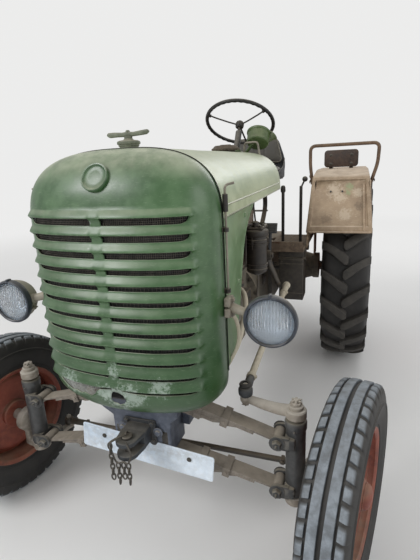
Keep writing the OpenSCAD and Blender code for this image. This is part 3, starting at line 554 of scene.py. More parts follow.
def surface(finish, tint, gloss, height, strength, depth):
    """Wires a finish's colour, roughness and relief to its shader."""
    mat, tree, shader = finish
    relief = put(tree, "ShaderNodeBump", Strength=strength, Distance=depth, Height=height)
    tree.links.new(tint, shader.inputs["Base Color"])
    tree.links.new(gloss, shader.inputs["Roughness"])
    tree.links.new(relief.outputs["Normal"], shader.inputs["Normal"])
    return mat


def scaled(mask, tree, amount):
    return calc(tree, "MULTIPLY", mask, amount, True)


def times(tree, a, b):
    return calc(tree, "MULTIPLY", a, b)


def weathered(name, base, pale, deep, rough=0.6, metal=0.0, edge=None, edge_amount=0.6,
              edge_radius=0.004, dust=(176, 166, 146), dust_amount=0.3, rust=None,
              rust_share=0.3, rust_scale=9.0, low=None, low_shade_colour=None, low_shade_amount=0.6,
              scratch=None, scratch_stretch=(1, 1, 8), mottle=5.0, bump=0.25, bump_scale=180.0,
              coat=0.0, worn=(), dust_level=0.05):
    """Old paint or metal: uneven colour, worn edges, rust, scratches, dust on what faces up, and, where
    asked, painted shade toward the floor.
    """
    finish = new_finish(name)
    _, tree, shader = finish
    place = spot(tree)
    broad = between(tree, grain(tree, place, mottle, 4.0), 0.3, 0.7)
    cloud = between(tree, grain(tree, place, mottle * 9, 5.0), 0.35, 0.75)
    tint = mixed(tree, broad, colour(*deep), colour(*base))
    tint = mixed(tree, scaled(cloud, tree, 0.55), tint, colour(*pale))
    gloss = calc(tree, "ADD", rough - 0.08, times(tree, cloud, 0.16))
    # Painted shade: a deeper tone toward the floor.
    if low:
        mask = scaled(shade_toward_floor(tree, *low), tree, low_shade_amount)
        tint = mixed(tree, mask, tint, colour(*low_shade_colour))
    if scratch:
        mask = scaled(scratches(tree, scratch_stretch, 55.0), tree, 0.6)
        tint = mixed(tree, mask, tint, colour(*scratch))
    for centre, radius, *shade in worn:
        mask = scaled(worn_patch(tree, centre, radius), tree, 0.62)
        tint = mixed(tree, mask, tint, colour(*(shade or (164, 178, 168))))
    bare = None
    if edge:
        bare = scaled(edge_wear(tree, edge_radius, 38.0), tree, edge_amount)
        tint = mixed(tree, bare, tint, colour(*edge))
    if rust:
        mask = blotches(tree, rust_scale, rust_share)
        rusty = mixed(tree, grain(tree, place, 90.0), colour(*rust),
                      colour(*[c * 0.55 for c in rust]))
        tint = mixed(tree, mask, tint, rusty)
        gloss = calc(tree, "ADD", gloss, times(tree, mask, 0.25), True)
    if dust_amount:
        mask = scaled(settled_dust(tree, 14.0, dust_level), tree, dust_amount)
        tint = mixed(tree, mask, tint, colour(*dust))
        gloss = calc(tree, "ADD", gloss, times(tree, mask, 0.3), True)
    for label, value in (("Metallic", metal), ("Coat Weight", coat), ("Coat Roughness", 0.3)):
        shader.inputs[label].default_value = value
    height = calc(tree, "ADD", grain(tree, place, bump_scale, 5.0),
                  times(tree, grain(tree, place, bump_scale / 8), 0.8))
    if bare:
        height = calc(tree, "SUBTRACT", height, times(tree, bare, 0.5))
    return surface(finish, tint, gloss, height, bump, 0.0015)


def panel_paint(name, base, pale, deep, worn=()):
    """The tractor's sage green: chalky and dusty above, that pale dust also standing as painted
    highlight, and darker toward the chin as painted shade.
    """
    return weathered(name, base, pale, deep, rough=0.4, edge=(176, 186, 164), edge_amount=0.35,
                     # The heavy pale dust on what faces up is partly dust and partly painted highlight.
                     edge_radius=0.0025, dust=(188, 192, 168), dust_amount=0.85,
                     rust=(92, 66, 46), rust_share=0.04, rust_scale=24.0,
                     # Painted shade: the deep tone grows from nothing at 1.2 m to most of the colour at
                     # 0.6 m, darkening the chin and the lower flanks.
                     low=(0.6, 1.2), low_shade_colour=deep, low_shade_amount=0.8, mottle=2.6, worn=worn,
                     dust_level=0.38,
                     scratch=(106, 128, 98), scratch_stretch=(1, 1, 9), bump=0.12,
                     bump_scale=120.0, coat=0.3)


def tyre_rubber(name, tread_dust, amount, film_dust):
    """Black rubber with dust worn into the tread and a film of it on what faces up."""
    finish = new_finish(name)
    tree = finish[1]
    place = spot(tree)
    tint = mixed(tree, grain(tree, place, 22.0, 5.0), colour(24, 24, 25), colour(54, 52, 50))
    worn = put(tree, "ShaderNodeAttribute", {"attribute_name": "tread"}).outputs["Fac"]
    patchy = between(tree, grain(tree, place, 30.0, 6.0, 0.65), 0.25, 0.75, 0.35, 1.0)
    tread = scaled(times(tree, worn, patchy), tree, amount)
    tint = mixed(tree, tread, tint, colour(*tread_dust))
    film = scaled(settled_dust(tree, 10.0), tree, 0.3)
    tint = mixed(tree, film, tint, colour(*film_dust))
    gloss = calc(tree, "ADD", 0.66, times(tree, tread, 0.25), True)
    return surface(finish, tint, gloss, grain(tree, place, 260.0, 4.0), 0.3, 0.001)


def lens_glass(name):
    """Pressed lamp glass with upright ribs in its upper half."""
    finish = new_finish(name)
    _, tree, shader = finish
    place = spot(tree)
    axes = put(tree, "ShaderNodeSeparateXYZ", Vector=place)
    ribs = calc(tree, "SINE", times(tree, axes.outputs["X"], 700.0))
    upper = between(tree, axes.outputs["Z"], 0.9, 0.91, 0.12, 1.0)
    film = grain(tree, place, 40.0, 5.0)
    tint = mixed(tree, film, colour(236, 243, 249), colour(250, 252, 254))
    gloss = calc(tree, "ADD", 0.08, times(tree, film, 0.18))
    # Light reaches the bowl through the glass as it does through a thin pane.
    pane = times(tree, put(tree, "ShaderNodeLightPath").outputs["Is Shadow Ray"], 0.6)
    tree.links.new(calc(tree, "SUBTRACT", 1.0, pane), shader.inputs["Alpha"])
    shader.inputs["Transmission Weight"].default_value = 0.9
    shader.inputs["IOR"].default_value = 1.45
    return surface(finish, tint, gloss, times(tree, ribs, upper), 0.6, 0.002)


def vinyl_cover(name):
    """Dark grey seat cover: fine grain, creases, and pale rubbed seams."""
    finish = new_finish(name)
    tree = finish[1]
    place = spot(tree)
    broad = grain(tree, place, 9.0, 5.0)
    tint = mixed(tree, broad, colour(46, 45, 42), colour(86, 83, 76))
    rubbed = scaled(edge_wear(tree, 0.006, 60.0), tree, 0.7)
    tint = mixed(tree, rubbed, tint, colour(168, 162, 148))
    tint = mixed(tree, scaled(settled_dust(tree, 16.0), tree, 0.4), tint, colour(142, 136, 122))
    cells = put(tree, "ShaderNodeTexVoronoi", Vector=place, Scale=420.0).outputs["Distance"]
    height = calc(tree, "ADD", cells, times(tree, grain(tree, place, 26.0), 1.4))
    return surface(finish, tint, between(tree, broad, 0.3, 0.7, 0.5, 0.72), height, 0.3, 0.0012)


def core_fins(name):
    """Radiator core: fine level fins between flat tubes, black and dusty."""
    finish = new_finish(name)
    tree = finish[1]
    axes = put(tree, "ShaderNodeSeparateXYZ", Vector=spot(tree))
    fins = calc(tree, "SINE", times(tree, axes.outputs["Z"], 1800.0))
    tint = mixed(tree, between(tree, fins, -0.6, 0.8), colour(14, 14, 14), colour(50, 49, 46))
    tint = mixed(tree, scaled(settled_dust(tree, 9.0), tree, 0.5), tint, colour(120, 112, 96))
    return surface(finish, tint, between(tree, fins, -1.0, 1.0, 0.8, 0.6), fins, 0.6, 0.002)


def wire_cloth(name):
    """Fine woven wire behind the louvres with dust caught on the wires, nearly black as painted shade
    behind the slots.
    """
    finish = new_finish(name)
    tree = finish[1]
    axes = put(tree, "ShaderNodeSeparateXYZ", Vector=spot(tree))
    across, upright = (calc(tree, "SINE", times(tree, axes.outputs[axis], 1300.0))
                       for axis in "XZ")
    wires = calc(tree, "MAXIMUM", across, upright)
    shown = times(tree, between(tree, wires, 0.55, 0.95),
                  between(tree, grain(tree, spot(tree), 9.0), 0.35, 0.65, 0.35, 1.0))
    tint = mixed(tree, shown, colour(10, 12, 13), colour(74, 74, 72))
    return surface(finish, tint, between(tree, wires, 0.0, 1.0, 0.9, 0.5), wires, 0.8, 0.001)


def settings():
    return bpy.context.scene.tractor_finish


# Bare patches on the nose: round the crank hole, by the chin and at the strip. Each has a place
# in millimetres and a radius in metres.
NOSE_WEAR = [(tuple(PLACE @ Vector(at)), radius) for at, radius in (
    ((-4, -178, 664), 0.05), ((-34, -176, 684), 0.04), ((58, -176, 686), 0.05),
    ((150, -158, 724), 0.042), ((-170, -150, 694), 0.055), ((6, -178, 762), 0.026),
    ((-STRIP_HW - 6, -180, 1226), 0.011), ((-STRIP_HW - 6, -180, 1190), 0.012),
    ((-STRIP_HW - 6, -180, 1150), 0.012), ((120, -165, 1228), 0.014))]


# Scuffs and green streaks on the fenders' front faces, each with its place, radius and shade.
FENDER_WEAR = [(tuple(PLACE @ Vector(at)), radius, *shade) for at, radius, shade in (
    ((580, 1303, 1192), 0.05, (206, 190, 168)), ((612, 1294, 1152), 0.036, (204, 188, 166)),
    ((660, 1308, 1212), 0.026, (140, 162, 118)), ((656, 1300, 1180), 0.02, (140, 162, 118)),
    ((640, 1272, 1060), 0.042, (206, 190, 168)), ((540, 1266, 1034), 0.034, (112, 94, 76)),
    ((716, 1284, 1104), 0.03, (104, 88, 72)), ((706, 1300, 1180), 0.034, (206, 190, 168)))]


def screen(value):
    """A property's linear colour as 8-bit screen numbers, for finishes that mix from them."""
    def encode(c):
        return 255 * (c * 12.92 if c <= 0.0031308 else 1.055 * c ** (1 / 2.4) - 0.055)
    return tuple(encode(c) for c in value[:3])


# Each finish: the slot of the pieces that have it, how it is made, its colours and its options.
# A colour given by a name is read from the panel.
FINISHES = {
    "bonnet_green": ("bonnet_green", panel_paint, ("bonnet_colour", (92, 122, 85), (42, 74, 40)), dict(
        worn=NOSE_WEAR)),
    # The bonnet and its beads have pale copies of the green: partly chalky dust, partly painted highlight
    # of the light falling on them.
    "bonnet_pale": ("bonnet_green", panel_paint, ((172, 184, 151), (196, 202, 171), (148, 163, 129)), {}),
    "bonnet_edge": ("bonnet_green", panel_paint, ((168, 170, 148), (192, 192, 170), (132, 138, 114)), {}),
    "panel_green": ("bonnet_green", panel_paint, ((104, 136, 92), (132, 156, 118), (78, 108, 66)), {}),
    "dark_green": ("dark_green", weathered, ((82, 92, 62), (104, 112, 80), (58, 72, 42)), dict(
        rough=0.5, edge=(150, 150, 124), dust_amount=0.45, coat=0.1)),
    "pod_green": ("dark_green", weathered, ((70, 92, 48), (92, 110, 70), (50, 68, 34)), dict(
        rough=0.45, edge=(140, 144, 118), dust_amount=0.4, coat=0.15)),
    "fan_grey": ("dusty_steel", weathered, ((150, 148, 138), (172, 168, 156), (112, 108, 100)), dict(
        rust=(104, 78, 58), rust_share=0.15, dust_amount=0.4)),
    "seat_piping": ("seat_cover", weathered, ((120, 116, 104), (156, 150, 136), (84, 80, 72)), dict(
        rough=0.7, dust_amount=0.4, bump=0.2)),
    "cap_brown": ("dusty_steel", weathered, ((76, 65, 53), (100, 88, 73), (52, 44, 36)), dict(
        edge=(130, 120, 102), dust_amount=0.35, dust=(116, 104, 86), rust=(92, 66, 48),
        rust_share=0.2)),
    "chain_grey": ("rust", weathered, ((72, 69, 65), (100, 95, 88), (48, 46, 43)), dict(
        rough=0.55, metal=0.4, rust=(92, 64, 46), rust_share=0.2, bump=0.3)),
    "seam_black": ("rubber", weathered, ((34, 36, 32), (52, 54, 46), (22, 23, 20)), dict(
        rough=0.8, dust_amount=0.2, bump=0.3)),
    "cap_sage": ("dusty_steel", weathered, ((114, 120, 102), (144, 150, 130), (82, 86, 72)), dict(
        edge=(156, 156, 140), dust_amount=0.4, bump=0.4)),
    "bare_wire": ("oily_grey", weathered, ((176, 178, 174), (214, 216, 212), (112, 112, 108)), dict(
        rough=0.5, metal=0.3, rust=(110, 84, 62), rust_share=0.1, bump=0.1)),
    # Painted shade behind the louvre slots, with a fine wire pattern.
    "wire_cloth": ("radiator_black", wire_cloth, (), {}),
    "cast_grey": ("cast_grey", weathered, ((112, 106, 94), (136, 126, 110), (84, 80, 72)), dict(
        rough=0.72, rust=(104, 74, 52), rust_share=0.22, dust_amount=0.55, dust=(160, 144, 120),
        edge=(150, 142, 128), bump=0.45)),
    "oily_grey": ("oily_grey", weathered, ((62, 58, 52), (84, 76, 66), (40, 37, 33)), dict(
        rough=0.55, rust=(84, 62, 44), rust_share=0.18, dust_amount=0.5, dust=(132, 118, 98),
        edge=(112, 104, 94), bump=0.45)),
    "bolster_blue": ("cast_grey", weathered, ((88, 96, 110), (118, 124, 138), (64, 70, 82)), dict(
        rust=(96, 72, 56), rust_share=0.12, dust_amount=0.55, edge=(140, 140, 138), bump=0.4)),
    "spring_steel": ("dusty_steel", weathered, ((134, 126, 116), (164, 156, 146), (98, 91, 83)), dict(
        rough=0.7, rust=(92, 68, 50), rust_share=0.18, dust_amount=0.6, dust=(170, 160, 144),
        edge=(150, 142, 130), bump=0.35, metal=0.15)),
    "tube_grey": ("oily_grey", weathered, ((66, 67, 68), (86, 86, 85), (48, 49, 50)), dict(
        rough=0.45, dust_amount=0.5, edge=(120, 116, 108), bump=0.3)),
    "forged_pale": ("dusty_steel", weathered, ((150, 142, 130), (182, 174, 164), (110, 102, 92)), dict(
        rough=0.75, rust=(110, 84, 64), rust_share=0.1, dust=(196, 190, 180), dust_amount=0.7,
        bump=0.5)),
    "dusty_steel": ("dusty_steel", weathered, ((134, 130, 118), (160, 154, 140), (104, 98, 88)), dict(
        rough=0.5, metal=0.45, dust_amount=0.45, rust=(110, 84, 62), rust_share=0.06)),
    "rust": ("rust", weathered, ((96, 70, 52), (124, 94, 70), (64, 46, 36)), dict(
        rough=0.85, rust=(74, 48, 34), rust_share=0.45, rust_scale=22.0, edge=(140, 118, 98),
        dust_amount=0.35, bump=0.7)),
    "jaw_grey": ("oily_grey", weathered, ((54, 58, 62), (76, 79, 82), (38, 40, 44)), dict(
        rough=0.62, rust=(92, 66, 48), rust_share=0.28, rust_scale=16.0, edge=(118, 112, 104),
        dust_amount=0.25, bump=0.55)),
    "primer": ("primer", weathered, ("fender_colour", (186, 164, 138), (134, 113, 91)), dict(
        rough=0.68, edge=(188, 172, 150), edge_amount=0.8, edge_radius=0.007, dust=(212, 195, 174),
        dust_amount=0.85, rust=(88, 66, 50), rust_share=0.13, rust_scale=20.0,
        scratch=(208, 192, 170), worn=FENDER_WEAR, scratch_stretch=(1, 1, 7), mottle=3.4,
        bump=0.3)),
    "rail_rust": ("rust", weathered, ((108, 86, 67), (132, 108, 84), (76, 58, 45)), dict(
        rough=0.7, rust=(96, 60, 38), rust_share=0.35, rust_scale=26.0, dust_amount=0.25, metal=0.1,
        bump=0.4)),
    "board_brown": ("rubber", weathered, ((62, 46, 38), (84, 66, 54), (40, 29, 24)), dict(
        edge=(112, 92, 76), scratch=(96, 80, 68), bump=0.35)),
    "plate_white": ("white_plate", weathered, ((220, 232, 244), (232, 240, 248), (204, 219, 235)), dict(
        rough=0.4, rust=(142, 96, 62), rust_share=0.03, rust_scale=30.0, edge=(150, 148, 142),
        bump=0.12, coat=0.15)),
    "cream": ("cream", weathered, ((196, 188, 168), (214, 207, 190), (168, 158, 138)), dict(
        rust=(120, 92, 66), rust_share=0.1, dust_amount=0.35, edge=(140, 128, 110), bump=0.3)),
    "lamp_shell": ("dusty_steel", weathered, ((148, 142, 128), (170, 164, 150), (120, 113, 100)), dict(
        rough=0.55, rust=(104, 78, 58), rust_share=0.12, dust_amount=0.5, edge=(96, 88, 78),
        bump=0.3)),
    "lamp_rim": ("oily_grey", weathered, ((58, 64, 74), (84, 90, 100), (38, 42, 50)), dict(
        rough=0.4, metal=0.3, rust=(84, 66, 52), rust_share=0.08, dust_amount=0.2, bump=0.2)),
    "reflector": ("dusty_steel", weathered, ((206, 216, 226), (226, 233, 240), (176, 188, 200)), dict(
        rough=0.34, metal=0.15, dust_amount=0.05, bump=0.05)),
    "finned_iron": ("cast_grey", weathered, ((118, 104, 92), (140, 124, 108), (84, 72, 62)), dict(
        rough=0.8, rust=(104, 72, 50), rust_share=0.25, dust_amount=0.5, dust=(168, 150, 126),
        edge=(146, 132, 116), bump=0.5)),
    "black_plastic": ("black_plastic", weathered, ((30, 29, 29), (48, 46, 44), (18, 18, 18)), dict(
        rough=0.5, edge=(90, 84, 76), edge_amount=0.35, dust_amount=0.35, bump=0.2)),
    "lever_black": ("black_plastic", weathered, ((38, 34, 30), (58, 52, 46), (24, 22, 20)), dict(
        rough=0.55, edge=(112, 98, 82), rust=(88, 62, 44), rust_share=0.1, bump=0.35)),
    "footplate": ("rust", weathered, ((104, 88, 72), (132, 114, 94), (76, 62, 50)), dict(
        rough=0.75, edge=(140, 124, 104), dust_amount=0.6, dust=(150, 134, 112), rust=(96, 66, 46),
        scratch=(132, 116, 96), scratch_stretch=(1, 7, 1), bump=0.5)),
    "toolbox": ("oily_grey", weathered, ((56, 51, 45), (78, 72, 62), (38, 34, 30)), dict(
        rough=0.55, edge=(110, 100, 86), dust_amount=0.45, rust=(90, 64, 46), rust_share=0.14,
        bump=0.3)),
    "wheel_red": ("wheel_red", weathered, ("wheel_colour", (156, 88, 68), (96, 46, 36)), dict(
        rust=(98, 70, 52), rust_share=0.2, rust_scale=14.0, edge=(160, 140, 120),
        dust=(160, 140, 118), dust_amount=0.55, bump=0.3)),
    "exhaust_rust": ("rust", weathered, ((98, 76, 60), (124, 98, 78), (66, 50, 40)), dict(
        rough=0.85, rust=(112, 66, 40), rust_share=0.4, bump=0.6)),
    "filter_dark": ("oily_grey", weathered, ((44, 39, 34), (66, 58, 50), (28, 25, 22)), dict(
        rough=0.48, rust=(84, 60, 42), rust_share=0.16, dust_amount=0.5, edge=(104, 92, 78),
        bump=0.3)),
    "dial_face": ("black_plastic", weathered, ((26, 26, 28), (40, 40, 40), (16, 16, 16)), dict(
        rough=0.4, dust_amount=0.2, bump=0.05)),
    "dial_marks": ("cream", weathered, ((214, 210, 196), (228, 224, 210), (190, 186, 170)), dict(
        rough=0.5, dust_amount=0.1, bump=0.05)),
    "front_rubber": ("rubber", tyre_rubber, ((152, 161, 170), 0.95, (112, 108, 100)), {}),
    "rear_rubber": ("rubber", tyre_rubber, ((92, 88, 82), 0.6, (78, 72, 64)), {}),
    "rubber": ("rubber", tyre_rubber, ((110, 104, 96), 0.3, (96, 88, 78)), {}),
    "lens_glass": ("lens_glass", lens_glass, (), {}),
    "seat_cover": ("seat_cover", vinyl_cover, (), {}),
    "radiator_black": ("radiator_black", core_fins, (), {}),
}


def finishes(name):
    """The finish of that name, made once. The frame's own plain materials keep their names."""
    title = name + "_finish"
    if title not in bpy.data.materials:
        _, make, look, options = FINISHES[name]
        look = [screen(getattr(settings(), c)) if isinstance(c, str) else c for c in look]
        make(title, *look, **options)
    return bpy.data.materials[title]


class BuildStep(bpy.types.Operator):
    """One step of building the tractor"""
    bl_idname = "tractor.step"
    bl_label = "Step"
    bl_options = {"REGISTER", "UNDO"}

    def execute(self, context):
        noise.seed_set(DENT_SEED)
        self.build(context.scene.tractor_sizes)
        return {"FINISHED"}


# The nose

def bulge(f, n):
    return max(0.0, 1 - min(1.0, max(0.0, f)) ** n) ** (1 / n)


def flank(z, n):
    if z > SHOULDER_Z:
        return bulge((z - SHOULDER_Z) / (BONNET_TOP - SHOULDER_Z), n)
    if z < CHIN_Z:
        return bulge((CHIN_Z - z) / (CHIN_Z - CHIN_CLOSE_Z), 2.8)
    return 1.0


def nose_point(u, z, out=0.0):
    """A point of the nose sheet. u is the share of the half width, from -1 to 1."""
    a = math.asin(min(1.0, abs(u) ** (1 / 0.82))) * (1 if u >= 0 else -1)
    side, front = BONNET_HW * flank(z, 2.9), NOSE_DEPTH * flank(z, 2.35)
    return Vector((side * u + out * math.sin(a),
                   SEAM_Y - front * max(0.0, math.cos(a)) ** 0.82 - out * math.cos(a), z))


def slot_z(i):
    return SLOT_TOP - i * SLOT_PITCH


def slot_h(i):
    return 21 if i < 3 else 18 if i < 9 else 14


class TRACTOR_OT_nose(BuildStep):
    """Nose sheet with its louvres, torn crank hole, wire screen and bare badge"""
    bl_idname = "tractor.nose"
    bl_label = "Nose"

    # The starting crank's hole: the height of its middle, its half width and half height.
    crank_z, crank_hw, crank_hh = 659, 29, 25
    # A hood's shape: share of the room up to the next slot, and how far it stands out.
    hood = ((0, 0.94), (0.04, 1.07), (0.14, 1.05), (0.32, 0.87), (0.5, 0.63), (0.68, 0.38),
            (0.84, 0.15), (0.97, 0.01))

    def columns(self):
        half = [0, 6, 12, 17, 22, 28, 36] + [36 + 12.1 * k for k in range(1, 17)]
        half += [238, 245, 251, 256, 259.5, 262, 266, 272, 279, 286, 293, 299, 305, 310, 314,
                 317.5, 320, 321.4, 322]
        half = [x / BONNET_HW for x in half]
        return [-u for u in reversed(half[1:])] + half

    def rows(self):
        rows = [(NOSE_LOW + up, None, None) for up in (0, 3, 8, 14)]
        rows += [(614 + 5.5 * k, None, None) for k in range(13)]
        for i in reversed(range(SLOT_COUNT)):
            low, high = slot_z(i) - slot_h(i) / 2, slot_z(i) + slot_h(i) / 2
            rows.append((low, i, "bottom"))
            rows.append(((low + high) / 2, i, "gap"))
            room = SLOT_PITCH - (slot_h(i) + slot_h(max(i - 1, 0))) / 2 - 1
            rows += [(high + up * room, i, out) for up, out in self.hood]
        rows += [(SHOULDER_Z + f * (BONNET_TOP - SHOULDER_Z), None, None)
                 for f in (0.33, 0.38, 0.43, 0.48, 0.53, 0.58, 0.63, 0.68, 0.72, 0.76, 0.8, 0.835,
                           0.87, 0.9, 0.925, 0.945, 0.962, 0.976, 0.987, 0.994, 0.998, 1.0)]
        return rows

    def sheet(self, lip_out):
        bm = new_bm()
        columns, rows = self.columns(), self.rows()
        table = grid(bm, len(columns), len(rows))
        open_faces = []
        for j, (z, slot, part) in enumerate(rows):
            for i, u in enumerate(columns):
                x = abs(u) * BONNET_HW
                height, out = z, 0.0
                if slot is not None:
                    end = min(1.0, max(0.0, (x - 234) / (SLOT_HW - 234)))
                    rise = 1 - math.sqrt(1 - end * end)
                    if part == "bottom":
                        height += slot_h(slot) * 0.78 * rise * (x <= SLOT_HW)
                    elif part == "gap":
                        height += slot_h(slot) * 0.39 * rise * (x <= SLOT_HW)
                    else:
                        inner = 0.8 + 0.2 * smooth01((x - STRIP_HW + 3) / 6)
                        outer = 1 - smooth01((x - SLOT_HW - 1) / 19)
                        out = lip_out * part * inner * outer
                if u < 0 and z < slot_z(SLOT_COUNT - 1) and part != "gap":
                    height -= self.torn(x) * smooth01((z - 612) / 81)
                co = nose_point(u, height, out)
                dent = ragged(co, 0.006, 2.2, 3.0) + ragged(co, 0.02, 0.7, 9.0)
                chin = smooth01((700 - z) / 60)
                fade = smooth01((1415 - z) / 80) * smooth01((1 - abs(u)) * 8)
                co.y += dent.y * (1 + 2.5 * chin) * fade
                co.z += dent.z * 0.5 * chin * fade
                table[j][i].co = co
        for j in range(len(rows) - 1):
            if rows[j][2] not in ("bottom", "gap"):
                continue
            for i in range(len(columns) - 1):
                mid = abs(columns[i] + columns[i + 1]) / 2 * BONNET_HW
                if STRIP_HW < mid < SLOT_HW:
                    corners = {table[j][i], table[j][i + 1], table[j + 1][i], table[j + 1][i + 1]}
                    open_faces += [f for f in table[j][i].link_faces if set(f.verts) == corners]
        bmesh.ops.delete(bm, geom=open_faces, context="FACES_KEEP_BOUNDARY")
        self.tear(bm)
        weld(bm, 0.05)
        face_out(bm)
        if sum(f.normal.y for f in bm.faces) > 0:
            bmesh.ops.reverse_faces(bm, faces=bm.faces)
        return bm

    def torn(self, x):
        """How far the lowest slot's edge is bent down on the tractor's right."""
        uneven = 1 + 0.3 * noise.noise(Vector((x * 0.05, 2, 7)))
        return 33 * smooth01((x - 54) / 44) * smooth01((252 - x) / 60) * uneven

    def tear(self, bm):
        """The starting crank's hole, worn wide and dented in."""
        def reach(v):
            turn = math.atan2(v.co.z - self.crank_z, v.co.x)
            size = 1 + 0.34 * noise.noise(Vector((math.cos(turn) * 1.7, math.sin(turn) * 1.7, 5)))
            return math.hypot(v.co.x / self.crank_hw, (v.co.z - self.crank_z) / self.crank_hh) / size
        inside = [f for f in bm.faces if all(reach(v) < 1.12 for v in f.verts) and
                  f.calc_center_median().y < -100]
        rim = {v for f in inside for v in f.verts}
        bmesh.ops.delete(bm, geom=inside, context="FACES")
        for v in bm.verts:
            if v.co.y > -100:
                continue
            r = reach(v)
            if v in rim and v.is_valid and r > 0.01:
                v.co.x /= r
                v.co.z = self.crank_z + (v.co.z - self.crank_z) / r
                r = 1
            if r < 3:
                v.co.y += 7 * (1 - smooth01((r - 1) / 1.6)) + ragged(v.co, 0.09, 2.4, 2.0).y

    def screen_wires(self):
        bm = new_bm()
        for i in range(SLOT_COUNT):
            low, high = slot_z(i) - 14, slot_z(i) + 16
            step = 6 if i < 4 else 12
            for s in (1, -1):
                count = int((SLOT_HW - STRIP_HW - 6) / step)
                for k in range(count):
                    u = s * (STRIP_HW + 6 + step * k) / BONNET_HW
                    rod(bm, nose_point(u, low, -9), nose_point(u, high, -9), 0.7, segments=4)
                for z in ((low + 8, low + 14, low + 20) if i < 4 else (low + 14,)):
                    path = [nose_point(s * (STRIP_HW + 4 + 24 * k) / BONNET_HW, z, -9)
                            for k in range(11)]
                    sweep(bm, path, 0.7, 4, capped=False)
        return bm

    def torn_wires(self):
        """The torn piece of mesh that shows in the bent slot."""
        bm = new_bm()
        low = slot_z(SLOT_COUNT - 1) - 45
        for k in range(37):
            x = -62 - 5.1 * k
            path = [nose_point((x + ragged(Vector((k, j, 0)), 0.7, 1.6).x) / BONNET_HW,
                               low + 6 * j, -7 + ragged(Vector((x, j, 4)), 0.05, 3.0).y)
                    for j in range(10)]
            sweep(bm, path, 0.8, 4, capped=False)
        for j in range(10):
            path = [nose_point((-60 - 9.4 * k) / BONNET_HW,
                               low + 6 * j + ragged(Vector((k, j, 9)), 0.6, 1.4).z,
                               -6.4 + ragged(Vector((-60 - 9.4 * k, j, 4)), 0.05, 3.0).y)
                    for k in range(21)]
            sweep(bm, path, 0.8, 4, capped=False)
        return bm

    def wire_and_shade_sheet(self):
        bm = new_bm()
        low, high = slot_z(SLOT_COUNT - 1) - 18, slot_z(0) + 22
        reach = (SLOT_HW + 16) / BONNET_HW
        table = grid(bm, 49, 40)
        for j, row in enumerate(table):
            for i, v in enumerate(row):
                v.co = nose_point(reach * (i / 24 - 1), low + (high - low) * j / 39, -13)
        return bm

    def build(self, sizes):
        finish_piece("nose_sheet", self.sheet(sizes.lip_out * 1000), "bonnet_green", "nose_shell",
                     smooth=42, thickness=4)
        finish_piece("nose_screen", self.screen_wires(), "oily_grey")
        finish_piece("torn_mesh", self.torn_wires(), "bare_wire")
        # A nearly black sheet behind the slots: painted shade of the nose's inside, with a fine wire
        # pattern.
        finish_piece("nose_wire_cloth", self.wire_and_shade_sheet(), "wire_cloth", thickness=1)
        bm = new_bm()
        foot = nose_point(0, 1345) + Vector((0, 3, -2))
        lathe(bm, [(0, 4), (0, 9.5), (18, 9), (33, 7.5), (35, 9), (37, 12.5), (40, 13), (42, 11),
                   (42, -2), (40, -4), (0, -4)], foot,
              (0, -math.sin(math.radians(62)), math.cos(math.radians(62))), 64)
        finish_piece("badge", bm, "bonnet_green", smooth=50)
        bm = new_bm()
        for k in range(9):
            start = Vector((-52 - 13 * k, -172 + k * 2.2, 699 - (k % 3) * 3))
            tip = start + Vector((ragged(start, 0.4, 9).x - 5, -4, -10 - 4 * (k % 4)))
            sweep(bm, softened([start, start.lerp(tip, 0.5) + Vector((3, -3, 1)), tip], 3), 0.8, 5)
        finish_piece("torn_screen", bm, "rust")


# The bonnet and what sits on it

def bonnet_point(a, y, inset=0.0):
    """A point of the bonnet's sheet: a from -90 to 90 degrees across, and y along."""
    share = (y - SEAM_Y) / (BONNET_REAR_Y - SEAM_Y)
    hw = BONNET_HW + (BONNET_REAR_HW - BONNET_HW) * share - inset
    top = BONNET_TOP - inset
    s, c = math.sin(math.radians(a)), math.cos(math.radians(a))
    return Vector((hw * math.copysign(abs(s) ** (2 / 2.9), s), y,
                   SHOULDER_Z + (top - SHOULDER_Z) * max(0.0, c) ** (2 / 2.9)))


